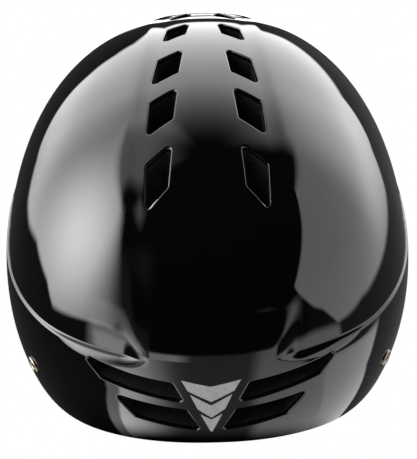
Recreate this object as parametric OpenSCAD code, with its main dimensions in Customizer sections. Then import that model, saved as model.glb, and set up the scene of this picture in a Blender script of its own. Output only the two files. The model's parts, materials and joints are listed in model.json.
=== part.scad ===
// Bicycle helmet with a hard outer shell, a foam liner, a dial-adjusted headband and chin straps.
// Millimetres. The front faces -Y, +Z is up, and z = 0 is the edge of the shell over the brow.

/* [Shell] */
// Half the width over the side lobes
shell_half_w = 102; // [98:1:108]
// Reach forward of the widest line
shell_front = 105; // [101:1:112]
// Reach behind the widest line
shell_back = 140; // [134:1:148]
// Height of the widest level above the brow edge
mid_z = 36; // [32:1:40]
// Height of the crown above the widest level
crown_rise = 113.5; // [108:0.5:118]
// Height over which the shell would close below its widest level
lower_curve = 117; // [110:1:128]
// Roundness of the front half in plan, where 2 is an ellipse
front_round = 2.2; // [2.1:0.05:2.5]
// Roundness of the rear half in plan
back_round = 2.3; // [2.1:0.05:2.6]
// Roundness of the side view
side_round = 2.08; // [2:0.02:2.3]
// Thickness of the hard shell
shell_wall = 2.4; // [1.8:0.1:3]

/* [Rim] */
// How far the rim arches up over the brow
brow_arch = 3; // [0:0.5:6]
// How far the rim drops at the temples
temple_drop = 7.5; // [4:0.5:10]
// How far the rim rises over the ears
ear_rise = 14; // [8:1:18]
// How far the rim drops at the nape
nape_drop = 12; // [8:1:16]

/* [Raised frame] */
// How far the crown band and the skirt stand proud of the side lobes
frame_rise = 2.2; // [1:0.2:3]
// Height of the ledge along the top of the skirt
ledge_z = 51; // [46:1:56]
// How much lower the ledge lies at the back
ledge_back = 8; // [0:1:14]
// Height over which the ledge rounds off
ledge_soft = 3.2; // [2:0.2:5]
// Half the width of the crown band at the back
band_half = 28; // [24:1:32]
// How much wider each side of the band gets towards the front
band_flare = 13; // [6:1:16]
// Width over which the band blends into the lobes
band_soft = 9; // [6:1:12]
// How far the lobes draw in just above the ledge
lobe_pinch = 1; // [0:0.2:2]
// How far the band lies below the lobes' edges over the crown
band_dip = 0.85; // [0:0.05:1.2]
// Width over which the band curls up to the lobes' edges
band_curl = 8; // [5:0.5:12]
// How far the brow swells where the band bends down into the skirt
brow_swell = 1.2; // [0:0.2:2]

/* [Vents] */
// Corner radius of the vents and slots
vent_r = 1.6; // [1:0.2:2.5]
// How far a vent's inner edge lies behind its outer edge
vent_slant = 7.5; // [4:0.5:10]
// Distance from the centre plane to the inner edge of the rearmost vents
vent_in = 7; // [6:0.5:10]
// Distance from the centre plane to the outer edge of the foremost vents
vent_out = 30; // [26:1:33]
// Depth of the blind brow slots behind the shell's front
slot_depth = 19; // [10:1:20]

/* [Liner] */
// Thickness of the foam liner
liner_t = 20; // [16:1:22]
// Clearance between parts that lie against each other
fit = 0.3; // [0.2:0.05:0.4]
// How far the liner's edge is set back from the shell's rim
liner_lift = 2; // [1:0.5:4]

/* [Pads] */
// Thickness of the comfort pads
pad_t = 6.5; // [5:0.5:8]
// Thickness of the hook discs that hold the pads
dot_t = 1.2; // [0.8:0.2:2]
// Radius of the hook discs
dot_r = 7; // [5:1:8]
// Height of the brow pad
brow_pad_h = 21; // [16:1:24]
// Angle from the front that the brow pad reaches on each side
brow_pad_reach = 47; // [40:1:52]
// Height of the side pads
side_pad_h = 44; // [36:1:48]
// Angle that a side pad reaches on each side of its middle
side_pad_reach = 24; // [18:1:27]
// Half the width of the crown pad
crown_pad_w = 26; // [20:1:30]
// Half the length of the crown pad
crown_pad_l = 52; // [40:1:56]
// Height of the rear pad
rear_pad_h = 26; // [20:1:30]
// Angle that the rear pad reaches on each side of its middle
rear_pad_reach = 19; // [14:1:22]

/* [Eyelets] */
// Outer radius of the eyelet barrels
eyelet_r = 3; // [2.5:0.1:3.5]
// Bore radius of the eyelets
eyelet_bore_r = 2.2; // [1.6:0.1:2.3]
// Radius of the rolled eyelet flange
eyelet_flange_r = 4.7; // [4.4:0.1:5.2]
// Angle of the front eyelets from the front
front_eyelet_t = 58; // [54:1:61]
// Height of the front eyelets
front_eyelet_z = 12; // [9:1:15]
// Angle of the rear eyelets from the front
rear_eyelet_t = 124; // [121:1:128]
// Height of the rear eyelets
rear_eyelet_z = 20; // [17:1:23]

/* [Straps] */
// Width of the webbing
web_w = 15; // [13:0.5:16]
// Thickness of the webbing
web_t = 1.4; // [1:0.1:1.6]
// Half the distance between the two strap dividers
divider_x = 72; // [68:1:75]
// Distance of the dividers behind the shell's widest line
divider_y = 18; // [12:1:22]
// Height of the middle of the dividers, below the brow edge
divider_z = -50; // [-56:1:-46]
// Thickness of the divider plates
divider_t = 3.6; // [3:0.2:4.4]
// Height of the lowest part of the chin loop
chin_z = -101; // [-106:1:-97]
// Height of the hinge line of the chin loop
swing_z = -57; // [-59:1:-56]

/* [Buckle] */
// Place of the joint between the plug and the socket, to the right of the centre
buckle_x = 6; // [0:1:10]
// Width of the buckle
buckle_w = 23; // [21:0.5:26]
// Thickness of the buckle
buckle_t = 9; // [8:0.5:10]
// Length of the socket
socket_l = 30; // [28:0.5:34]
// Length of the plug's body
plug_l = 16; // [14:0.5:18]
// Length of the plug's prongs
prong_l = 20; // [18:0.5:21]
// Radius of the bars that the webbing wraps
bar_r = 1.6; // [1.3:0.1:1.8]
// Length of the loose strap end below the chin strap
tail_l = 36; // [30:1:40]
// Length of the rubber keeper
keeper_l = 6; // [5:0.5:8]

/* [Fit system] */
// Distance of the dial unit's base behind the widest line
dial_y = 90.4; // [88:0.2:92]
// Height of the dial's axis
dial_z = -38; // [-41:1:-36]
// Gear module of the pinion and racks
gear_m = 0.9; // [0.8:0.05:0.95]
// Number of teeth on the pinion
pinion_teeth = 12; // [12:2:12]
// Half the length of the dial housing
housing_half = 29; // [28:0.5:31]
// Half the height of the dial housing
housing_r = 17; // [16:0.5:18]
// Thickness of the dial unit's base plate
base_t = 1.9; // [1.5:0.1:2.2]
// Depth of the dial housing
housing_t = 6.2; // [5.8:0.2:7]
// Radius of the dial
knob_r = 16.5; // [14:0.5:18]
// Depth of the dial
knob_t = 9; // [7:0.5:10]
// Number of grip hollows round the dial
knob_grips = 20; // [12:1:28]
// Width of the headband
head_band_w = 12; // [10:1:14]
// Thickness of the headband
head_band_t = 1.6; // [1.2:0.1:2]
// How far the racks travel from rest to each limit
rack_travel = 7.5; // [5:0.5:8]
// Angle of the temple pins from the front
temple_pin_t = 66; // [64:1:72]
// Height of the temple pins
temple_pin_z = 6; // [4:1:10]

/* [Hidden] */
$fn = 48;

// Corners of the brow slots on the right side, as distance from the centre and height
upper_slot = [[14.5, 33], [54.5, 40], [60.5, 48], [18.5, 43]];
lower_slot = [[6.5, 12], [38, 18], [46, 29], [12, 25]];
rear_slot = [[15, 14], [44, 16], [50, 25], [20, 24]];
// Middle and length along Y of each vent pair, from the rear to the front
vents = [[91, 17], [53.5, 18], [15, 22], [-19, 21.5], [-53.2, 20]];
// Chevrons: outer top, middle of the top edge, outer bottom and middle of the bottom edge
chevrons = [
    [[14.5, 47], 43, [11.3, 40], 32.7],
    [[10.3, 37.5], 30, [6.8, 27.6], 21.3],
    [[5.3, 23.7], 19.6, [0.6, 10.8], 10]
];
chevron_t = 0.3;

columns = 56;
upper_rows = 12;
inner_rows = 11;
far = 200;
running = 0.08;
liner_gap = shell_wall + fit;
cavity_d = -(liner_gap + liner_t);
shell_black = "#141416";
foam_black = "#1c1c1e";
pad_grey = "#2b2c30";
webbing_black = "#202124";
plastic_black = "#26272a";

function smooth(v) = let (u = min(1, max(0, v))) u * u * (3 - 2 * u);
function mix(a, b, f) = a + (b - a) * f;
function unit(v) = v / norm(v);
function super(c, s, n) = pow(pow(abs(c), n) + pow(abs(s), n), 1 / n);

// Height of the rim and of the ledge at an angle from the front
function off_front(t) = let (a = abs(t) % 360) a > 180 ? 360 - a : a;
function bump(t, middle, width) = exp(-pow((off_front(t) - middle) / width, 2));
function rim(t) = brow_arch * (bump(t, 0, 32) - 1) - temple_drop * bump(t, 52, 22)
    + ear_rise * bump(t, 98, 24) - nape_drop / (1 + exp((130 - off_front(t)) / 8));
function ledge(t) = ledge_z - ledge_back * smooth((off_front(t) - 100) / 70);

// Plan radius at an angle from the front, for a surface moved out by d
function plan_r(t, d) = let (fore = cos(t) > 0) 1 / super(
    sin(t) / (shell_half_w + d),
    cos(t) / ((fore ? shell_front : shell_back) + d),
    fore ? front_round : back_round
);
// Share of the plan radius that is left at a height
function share(z, d) = let (h = z > mid_z ? crown_rise + d : lower_curve)
    pow(max(0, 1 - pow(abs(z - mid_z) / h, side_round)), 1 / side_round);
function wall_pt(t, z, d) = let (r = plan_r(t, d) * share(z, d)) [r * sin(t), -r * cos(t), z];
function rise_angle(z, d) = atan2((z - mid_z) / (z > mid_z ? crown_rise + d : lower_curve), share(z, d));
function dome_pt(t, a, d) =
    let (k = 1 / super(cos(a), sin(a), side_round), r = plan_r(t, d) * cos(a) * k)
    [r * sin(t), -r * cos(t), mid_z + sin(a) * k * (sin(a) > 0 ? crown_rise + d : lower_curve)];
// Height of the roof over a place in plan
function roof_z(x, y, d) = let (
    fore = y < 0,
    q = super(x / (shell_half_w + d), y / ((fore ? shell_front : shell_back) + d),
        fore ? front_round : back_round)
) mid_z + (crown_rise + d) * pow(max(0, 1 - pow(q, side_round)), 1 / side_round);
// Y of the front at a height and a distance from the centre
function front_y(x, z, d) = -(shell_front + d)
    * pow(pow(share(z, d), front_round) - pow(abs(x) / (shell_half_w + d), front_round), 1 / front_round);

// How far the raised frame stands out of the plain dome at a point
function band_edge(y) = band_half + band_flare * smooth((60 - y) / 130) - 5 * smooth((-75 - y) / 25);
function on_skirt(p, t) = 1 - smooth((p[2] - ledge(t) + 1.2) / ledge_soft);
function on_band(p) = 1 - smooth((abs(p[0]) - band_edge(p[1])) / band_soft + 0.5);
// Share of the band that stands proud: all of it over the brow and at the back, none over the crown
brow_top = 58;
brow_fade = 30;
back_start = 88;
back_fade = 14;
function band_up(p) = max(
    p[1] < 0 ? 1 - smooth((p[2] - brow_top) / brow_fade) : 0, smooth((p[1] - back_start) / back_fade));
crease_soft = 1.2;
function band_low(p) = let (s = abs(p[0]) - band_edge(p[1]), u = (norm([s, crease_soft]) - s) / 2 / band_curl)
    u < 1 ? -band_dip * u * (2 - u) : -band_dip;
function proud(p, t) = let (skirt = on_skirt(p, t), band = on_band(p), up = band_up(p))
    frame_rise * skirt
    + (1 - skirt) * (up * frame_rise * band + (1 - up) * band_low(p)
        - lobe_pinch * (1 - band) * exp(-max(0, p[2] - ledge(t)) / 22))
    + brow_swell * (1 - (1 - skirt) * (1 - band)) * bump(t, 0, 34) * exp(-pow((p[2] - 55) / 16, 2));
function skin_pt(t, z, d) = wall_pt(t, z, d + proud(wall_pt(t, z, 0), t));
function skin_normal(t, z) = unit(cross(skin_pt(t + 2, z, 0) - skin_pt(t - 2, z, 0),
    skin_pt(t, z + 3, 0) - skin_pt(t, z - 3, 0)));

// One column of the dome from the rim towards the crown
skirt_rows = 4;
ledge_steps = [-0.6, 1, 3];
function column(t, d, lift, shaped) = concat(
    [for (i = [0 : skirt_rows - 1])
        let (z = mix(rim(t) + lift, ledge(t) - 2.2, i / (skirt_rows - 1)))
        shaped ? skin_pt(t, z, d) : wall_pt(t, z, d)],
    [for (s = ledge_steps) shaped ? skin_pt(t, ledge(t) + s, d) : wall_pt(t, ledge(t) + s, d)],
    let (a0 = rise_angle(ledge(t) + 3, d))
    [for (i = [1 : upper_rows - 1])
        let (a = mix(a0, 90, i / upper_rows), p = dome_pt(t, a, 0))
        dome_pt(t, a, d + (shaped ? proud(p, t) : 0))]
);
// A plain column with few points, for the inside of the liner
function plain_column(t, d, lift) = let (a0 = rise_angle(rim(t) + lift, d))
    [for (i = [0 : inner_rows - 1]) dome_pt(t, mix(a0, 90, i / inner_rows), d)];

// A bowl between an outer and an inner skin, each given as a list of columns and a crown point
module bowl(outer, outer_top, inner, inner_top) {
    n = len(outer);
    a = len(outer[0]);
    b = len(inner[0]);
    base = n * a + 1;
    points = concat([for (c = outer, p = c) p], [outer_top], [for (c = inner, p = c) p], [inner_top]);
    faces = [for (j = [0 : n - 1]) let (k = (j + 1) % n) each concat(
        [for (i = [0 : a - 2]) each [
            [j * a + i, j * a + i + 1, k * a + i + 1],
            [j * a + i, k * a + i + 1, k * a + i]]],
        [[j * a + a - 1, n * a, k * a + a - 1]],
        [for (i = [0 : b - 2]) each [
            [base + j * b + i, base + k * b + i + 1, base + j * b + i + 1],
            [base + j * b + i, base + k * b + i, base + k * b + i + 1]]],
        [[base + j * b + b - 1, base + k * b + b - 1, base + n * b]],
        [[j * a, k * a, base + k * b], [j * a, base + k * b, base + j * b]]
    )];
    polyhedron(points, faces, convexity = 8);
}

turns = [for (j = [0 : columns - 1]) 360 * j / columns];
crown_z = mid_z + crown_rise;

// A sheet between two grids of points, both nu + 1 by nv + 1, the top one on the outside
module sheet_solid(top, bottom) {
    nu = len(top) - 1;
    nv = len(top[0]) - 1;
    w = nv + 1;
    o = (nu + 1) * w;
    faces = concat(
        [for (i = [0 : nu - 1], j = [0 : nv - 1])
            let (a = i * w + j, b = a + w, c = b + 1, d = a + 1)
            each [[a, d, c], [a, c, b], [o + a, o + b, o + c], [o + a, o + c, o + d]]],
        [for (i = [0 : nu - 1]) let (a = i * w, b = a + w, d = a + nv, c = b + nv)
            each [[a, b, o + b], [a, o + b, o + a], [c, d, o + d], [c, o + d, o + c]]],
        [for (j = [0 : nv - 1]) let (a = j, d = j + 1, b = nu * w + j, c = b + 1)
            each [[d, a, o + a], [d, o + a, o + d], [b, c, o + c], [b, o + c, o + b]]]
    );
    polyhedron([for (g = [top, bottom], r = g, p = r) p], faces, convexity = 6);
}

// A flat ribbon along points, with the direction that its face looks at each point
module ribbon(pts, faces_to, w, t) {
    n = len(pts);
    rings = [for (i = [0 : n - 1]) let (
        along = unit(pts[min(n - 1, i + 1)] - pts[max(0, i - 1)]),
        across = unit(cross(along, faces_to[i])),
        out = cross(across, along)
    ) each [for (c = [[-1, -1], [1, -1], [1, 1], [-1, 1]])
        pts[i] + across * c[0] * w / 2 + out * c[1] * t / 2]];
    sides = [for (i = [0 : n - 2], k = [0 : 3]) let (
        a = 4 * i + k, b = 4 * i + (k + 1) % 4
    ) each [[a, b, b + 4], [a, b + 4, a + 4]]];
    last = 4 * (n - 1);
    caps = [[0, 2, 1], [0, 3, 2], [last, last + 1, last + 2], [last, last + 2, last + 3]];
    polyhedron(rings, concat(sides, caps), convexity = 6);
}

// Moves children so that their z axis leaves a point along a direction
module on_face(p, n) {
    translate(p) rotate([0, acos(n[2]), atan2(n[1], n[0])]) children();
}
module right_and_left() {
    children();
    mirror([1, 0, 0]) children();
}

// Shell and liner

function vent_inner(y) = max(vent_in, 8 + (65 - y) * 0.088);
function vent_outer(y) = max(vent_out - 13 * pow((y + 70) / 130, 2), vent_inner(y) + 10);

module vent_cut(v) {
    y_far = v[0] + v[1] / 2;
    y_near = v[0] - v[1] / 2;
    s = vent_slant / 2;
    hull() {
        for (c = [
            [vent_inner(y_far + s) + vent_r, y_far + s - 2 * vent_r],
            [vent_outer(y_far - s) - vent_r, y_far - s - vent_r],
            [vent_outer(y_near - s) - vent_r, y_near - s + 2 * vent_r],
            [vent_inner(y_near + s) + vent_r, y_near + s + vent_r]
        ]) translate([c[0], c[1], mid_z + 20]) cylinder(r = vent_r, h = far, $fn = 12);
    }
}
// A slot cut straight back from y_from to y_to through four corners
module slot_cut(corners, y_from, y_to) {
    middle = (corners[0] + corners[1] + corners[2] + corners[3]) / 4;
    hull() {
        for (c = corners) {
            p = c + unit(middle - c) * vent_r;
            translate([p[0], y_to, p[1]]) rotate([90, 0, 0])
                cylinder(r = vent_r, h = y_to - y_from, $fn = 12);
        }
    }
}
module openings(depth) {
    right_and_left() {
        for (v = vents) vent_cut(v);
        slot_cut(upper_slot, -far, -shell_front + 56);
        slot_cut(lower_slot, -far, -shell_front + depth);
        slot_cut(rear_slot, shell_back - 60, far);
    }
}

eyelets = [[front_eyelet_t, front_eyelet_z], [rear_eyelet_t, rear_eyelet_z]];

module outer_shell() {
    color(shell_black) difference() {
        bowl(
            [for (t = turns) column(t, 0, 0, true)], [0, 0, crown_z - band_dip],
            [for (t = turns) column(t, -shell_wall, 0, true)], [0, 0, crown_z - band_dip - shell_wall]
        );
        openings(slot_depth);
        right_and_left() for (e = eyelets)
            on_face(skin_pt(e[0], e[1], 0), skin_normal(e[0], e[1]))
                cylinder(r = eyelet_r + fit / 2, h = 4 * shell_wall, center = true, $fn = 24);
    }
}

module foam_liner() {
    color(foam_black) difference() {
        bowl(
            [for (t = turns) column(t, -liner_gap, liner_lift, true)], [0, 0, crown_z - band_dip - liner_gap],
            [for (t = turns) plain_column(t, cavity_d, liner_lift + 2)], [0, 0, crown_z + cavity_d]
        );
        openings(slot_depth);
        right_and_left() {
            for (s = [front_path, rear_path]) {
                wide = concat([[2 * s[0][0] - s[1][0], s[0][1]]], s);
                ribbon([for (p = wide) p[0] - p[1] * pocket_t / 2], [for (p = wide) p[1]],
                    web_w + 6, pocket_t + 2 * web_t + fit);
            }
            for (p = band_pin_places)
                on_face(p[0], p[1]) cylinder(r = pin_r + fit / 3, h = 2 * pin_l, center = true, $fn = 16);
        }
    }
}

function front_skin(p, lift) = let (d = lift + proud([p[0], -shell_front, p[1]], 0))
    [p[0], front_y(p[0], p[1], d), p[1]];
// Place on a chevron, for u across it from -1 to 1 and v from its bottom edge to its top edge
function chevron_pt(c, u, v) = [
    u * mix(c[2][0], c[0][0], v),
    mix(mix(c[3], c[2][1], abs(u)), mix(c[1], c[0][1], abs(u)), v)
];
module reflective_chevrons() {
    color("#b4b6b8") for (c = chevrons) {
        grid = [for (i = [-4 : 4]) [for (j = [0 : 3]) chevron_pt(c, i / 4, j / 3)]];
        sheet_solid([for (r = grid) [for (p = r) front_skin(p, chevron_t + 0.1)]],
            [for (r = grid) [for (p = r) front_skin(p, 0.1)]]);
    }
}

// Eyelets and the straps that they hold

washer_t = 0.8;
lip_t = 0.6;
// Distances behind the shell's outer face of the strap's middle and the washer's front
strap_back = shell_wall + fit + web_t / 2 + 0.6;
washer_back = strap_back + web_t / 2 + 0.45;
barrel_end = washer_back + washer_t + 0.1 + lip_t;
pocket_t = 5;

module strap_eyelets() {
    color("#b7a17a") right_and_left() for (e = eyelets)
        on_face(skin_pt(e[0], e[1], 0), skin_normal(e[0], e[1])) rotate_extrude() {
            polygon([
                [eyelet_bore_r, -barrel_end], [eyelet_r + 1.2, -barrel_end],
                [eyelet_r + 1.2, lip_t - barrel_end],
                [eyelet_r, lip_t - barrel_end], [eyelet_r, 0.05], [eyelet_flange_r, 0.05],
                [eyelet_flange_r, 0.5], [eyelet_flange_r - 0.4, 0.95], [eyelet_flange_r - 1.1, 1.2],
                [eyelet_bore_r + 0.5, 1], [eyelet_bore_r + 0.1, 0.6], [eyelet_bore_r, 0]
            ]);
        }
}

module eyelet_washers() {
    color("#9a9c9e") right_and_left() for (e = eyelets)
        on_face(skin_pt(e[0], e[1], 0), skin_normal(e[0], e[1])) translate([0, 0, -washer_back - washer_t])
            difference() {
                cylinder(r = eyelet_r + 3, h = washer_t);
                translate([0, 0, -1]) cylinder(r = eyelet_r + 0.1, h = washer_t + 2);
            }
}

// A strap's way from past its eyelet, down inside the shell, over the rim and into its divider's slot
outer_x = divider_x + divider_t / 2 + fit + web_t / 2;
slot_y = 7;
slot_z = 7;
slot_lean = 48;
front_over_t = 67;
rear_over_t = 116;
function strap_path(e, over_t, side) = let (
    over_z = rim(over_t) - 2,
    wall = [for (f = [-0.42, 0, 0.5, 1]) let (
        t = mix(e[0], over_t, f), z = mix(e[1], over_z, f)
    ) [skin_pt(t, z, -strap_back), skin_normal(t, z)]],
    over = wall[3][0],
    up = [0, side * sin(slot_lean), cos(slot_lean)],
    slot = [0, divider_y + side * slot_y, divider_z + slot_z],
    lie = slot + [outer_x, 0, 0] + 4.5 * up
) concat(wall, [
    [mix(over, lie, 0.35) + [1.2, 0, 0], unit(mix(wall[3][1], [1, 0, 0], 0.4))],
    [mix(over, lie, 0.75) + [0.6, 0, 0], [1, 0, 0]],
    [lie, [1, 0, 0]],
    [slot + [outer_x - 0.3, 0, 0] + 0.8 * up, unit([1, 0, 0] - up)],
    [slot + [divider_x + 0.6, 0, 0], -up],
    [slot + [divider_x - divider_t / 2 + 0.2, 0, 0], -up]
]);
front_path = strap_path(eyelets[0], front_over_t, -1);
rear_path = strap_path(eyelets[1], rear_over_t, 1);

module yoke_strap(path, e) {
    color(webbing_black) difference() {
        ribbon([for (p = path) p[0]], [for (p = path) p[1]], web_w, web_t);
        on_face(skin_pt(e[0], e[1], 0), skin_normal(e[0], e[1]))
            cylinder(r = eyelet_r + 0.1, h = 20, center = true);
    }
}
module right_front_strap() { yoke_strap(front_path, eyelets[0]); }
module left_front_strap() { mirror([1, 0, 0]) yoke_strap(front_path, eyelets[0]); }
module right_rear_strap() { yoke_strap(rear_path, eyelets[1]); }
module left_rear_strap() { mirror([1, 0, 0]) yoke_strap(rear_path, eyelets[1]); }

// Pads

// A cushion on the liner: pt(u, v, h) gives the place h above the liner for u and v from -1 to 1
function cushion_h(u, v, channels) = pad_t * (0.3 + 0.7 * sqrt((1 - pow(u, 8)) * (1 - pow(v, 4))))
    - 1.3 * max([for (c = channels) exp(-pow((u - c) / 0.05, 2))]) * (1 - pow(v, 8));
function corner(u, v) = [u * sqrt(1 - 0.32 * v * v), v * sqrt(1 - 0.32 * u * u)];
disc_lift = 0.85;
pad_lift = disc_lift + dot_t + 0.2;

module wall_pad(middle_t, middle_z, reach, h, nu, nv, channels) {
    function at(u, v, lift) = let (c = corner(u, v))
        wall_pt(middle_t - c[0] * reach, middle_z + c[1] * h / 2, cavity_d - pad_lift - lift);
    color(pad_grey) sheet_solid(
        [for (i = [0 : nu]) [for (j = [0 : nv]) let (u = 2 * i / nu - 1, v = 2 * j / nv - 1)
            at(u * 0.97, v * 0.94, cushion_h(u, v, channels))]],
        [for (i = [0 : nu]) [for (j = [0 : nv]) at(2 * i / nu - 1, 2 * j / nv - 1, 0)]]
    );
}
brow_pad_z = 15.5;
side_pad_z = 44;
rear_pad_z = 42;
side_pad_mid = 92;
module brow_pad() {
    wall_pad(0, brow_pad_z, brow_pad_reach, brow_pad_h, 30, 8, [-0.6, -0.2, 0.2, 0.6]);
}
module right_side_pad() {
    wall_pad(side_pad_mid, side_pad_z, side_pad_reach, side_pad_h, 20, 10, [-0.3, 0.3]);
}
module left_side_pad() { mirror([1, 0, 0]) right_side_pad(); }
module rear_pad() { wall_pad(180, rear_pad_z, rear_pad_reach, rear_pad_h, 20, 8, [0]); }
crown_pad_y = 8;
module crown_pad() {
    nu = 16;
    nv = 20;
    function at(u, v, lift) = let (
        c = corner(u, v), x = -c[0] * crown_pad_w, y = crown_pad_y + c[1] * crown_pad_l
    ) [x, y, roof_z(x, y, cavity_d - pad_lift - lift)];
    color(pad_grey) sheet_solid(
        [for (i = [0 : nu]) [for (j = [0 : nv]) let (u = 2 * i / nu - 1, v = 2 * j / nv - 1)
            at(u * 0.96, v * 0.97, cushion_h(v, u, [-0.36, 0.36]))]],
        [for (i = [0 : nu]) [for (j = [0 : nv]) at(2 * i / nu - 1, 2 * j / nv - 1, 0)]]
    );
}

module wall_disc(t, z) {
    n = unit(cross(wall_pt(t + 2, z, cavity_d) - wall_pt(t - 2, z, cavity_d),
        wall_pt(t, z + 3, cavity_d) - wall_pt(t, z - 3, cavity_d)));
    on_face(wall_pt(t, z, cavity_d) - n * disc_lift, -n) cylinder(r = dot_r, h = dot_t);
}
module pad_discs() {
    color("#3a3b3e") {
        right_and_left() {
            wall_disc(0.62 * brow_pad_reach, brow_pad_z);
            wall_disc(side_pad_mid - 0.45 * side_pad_reach, side_pad_z);
            wall_disc(side_pad_mid + 0.45 * side_pad_reach, side_pad_z);
        }
        wall_disc(180, rear_pad_z);
        for (y = [-0.55, 0.55] * crown_pad_l) {
            p = [0, crown_pad_y + y, roof_z(0, crown_pad_y + y, cavity_d)];
            q = [0, crown_pad_y + y + 2, roof_z(0, crown_pad_y + y + 2, cavity_d)];
            n = unit(cross([1, 0, 0], q - p));
            on_face(p - n * disc_lift, -n) cylinder(r = dot_r, h = dot_t);
        }
    }
}

// Strap dividers with their cam levers

lever_w = 17;
lever_pin_r = 1.2;
lever_z = divider_z - 3;
ear_w = 2.6;
plate_x = divider_x - divider_t / 2;

function roof_slot(side) = [side * slot_y, slot_z];
module divider() {
    translate([plate_x, divider_y, divider_z]) rotate([90, 0, 90]) {
        difference() {
            linear_extrude(divider_t) difference() {
                union() {
                    polygon([[-16, 13], [-6, 18], [6, 18], [16, 13],
                        [16, 3], [11, -13], [-11, -13], [-16, 3]]);
                    for (s = [-1, 1]) {
                        translate([s * 14, 11]) circle(r = 4);
                        translate([s * 14, 5]) circle(r = 4);
                        translate([s * 9, -13]) circle(r = 2);
                    }
                    translate([-9, -15]) square([18, 4]);
                }
                for (s = [-1, 1]) translate([s * slot_y, slot_z]) rotate(-s * slot_lean)
                    square([web_w + 1, web_t + 2 * fit + 0.6], center = true);
            }
        }
        for (s = [-1, 1]) translate([s * (lever_w / 2 + fit + ear_w / 2), lever_z - divider_z, divider_t])
            rotate([90, 0, 90]) translate([0, 0, -ear_w / 2]) difference() {
                union() {
                    translate([-3, -0.5]) cube([6, 3, ear_w]);
                    translate([0, 2.5, 0]) cylinder(r = 3, h = ear_w);
                }
                translate([0, 2.5, -1]) cylinder(r = lever_pin_r + running, h = ear_w + 2);
            }
    }
}
lever_x = plate_x + divider_t + 2.5;
module cam_lever() {
    translate([lever_x, divider_y, lever_z]) {
        rotate([90, 0, 0]) translate([0, 0, -lever_w / 2 - fit - ear_w])
            cylinder(r = lever_pin_r, h = lever_w + 2 * (fit + ear_w));
        rotate([90, 0, 0]) translate([0, 0, -lever_w / 2]) linear_extrude(lever_w) {
            circle(r = 2.1);
            polygon([[-0.4, -2], [2, 0], [2.4, -9], [1.6, -15.5], [0.4, -15.5], [0.6, -9]]);
            translate([1, -15.5]) circle(r = 0.9);
        }
    }
}
module right_divider() { color(plastic_black) divider(); }
module left_divider() { color(plastic_black) mirror([1, 0, 0]) divider(); }
module right_cam_lever() { color("#303236") cam_lever(); }
module left_cam_lever() { color("#303236") mirror([1, 0, 0]) cam_lever(); }

// Chin straps and their buckle

swing_x = plate_x - fit - web_t / 2;
turn_z = swing_z - 9;
turn_w = 25;
layer = (web_t + 0.1) / 2;
wrap_r = bar_r + fit + web_t / 2;
web_len = 12;
// From the divider down and round to the run under the chin, in the plane of the loop
function loop_side() = concat(
    [[swing_x, swing_z], [swing_x, turn_z]],
    [for (a = [15 : 15 : 90]) [swing_x - turn_w * (1 - cos(a)), turn_z + (chin_z + layer - turn_z) * sin(a)]]
);
// Round a bar at x, and back under the strap for a length
function wrap(x, back) = concat(
    [[x + 6, chin_z + layer + 0.2], [x + 3, chin_z + wrap_r - 0.5]],
    [for (a = [90 : 30 : 270]) [x + wrap_r * cos(a), chin_z + wrap_r * sin(a)]],
    [[x + 3, chin_z - wrap_r + 0.5], [x + 6, chin_z - layer - 0.2]],
    [[x + 9, chin_z - layer], [x + back, chin_z - layer]]
);
socket_bar_x = buckle_x + socket_l - bar_r;
plug_bar_x = buckle_x - plug_l + bar_r;
module chin_web(route) {
    n = len(route);
    pts = [for (p = route) [p[0], divider_y, p[1]]];
    outs = [for (i = [0 : n - 1]) let (along = pts[min(n - 1, i + 1)] - pts[max(0, i - 1)])
        cross(unit(along), [0, 1, 0])];
    ribbon(pts, outs, web_w, web_t);
    translate([swing_x, divider_y, swing_z]) rotate([0, 90, 0])
        cylinder(r = web_w / 2, h = web_t, center = true);
}
function right_route() = concat(loop_side(), wrap(socket_bar_x, web_len));
function left_route() = concat(loop_side(), wrap(-plug_bar_x, tail_l));
module right_chin_strap() { color(webbing_black) chin_web(right_route()); }
module left_chin_strap() { color(webbing_black) mirror([1, 0, 0]) chin_web(left_route()); }

mouth_w = 17.5;
mouth_t = 5.4;
slot_w = web_w + 1.2;
web_slot = web_t + 2 * fit + 0.7;
prong_t = 3;
window_x = 8;
window_l = 8.6;
// The outline of a buckle half seen from above, from x = 0 to a length, with a waist
module buckle_outline(l) {
    polygon([[0, -buckle_w / 2], [0.6 * l, -buckle_w / 2], [l, -slot_w / 2 - 1.6],
        [l, slot_w / 2 + 1.6], [0.6 * l, buckle_w / 2], [0, buckle_w / 2]]);
}
module buckle_side(l) {
    polygon([[0, -buckle_t / 2], [0.6 * l, -buckle_t / 2], [l, -bar_r],
        [l, bar_r], [0.6 * l, buckle_t / 2], [0, buckle_t / 2]]);
}
module buckle_half(l) {
    intersection() {
        translate([0, 0, -buckle_t / 2]) linear_extrude(buckle_t) buckle_outline(l);
        translate([0, buckle_w / 2 + 1, 0]) rotate([90, 0, 0]) linear_extrude(buckle_w + 2) buckle_side(l);
    }
}
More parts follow.
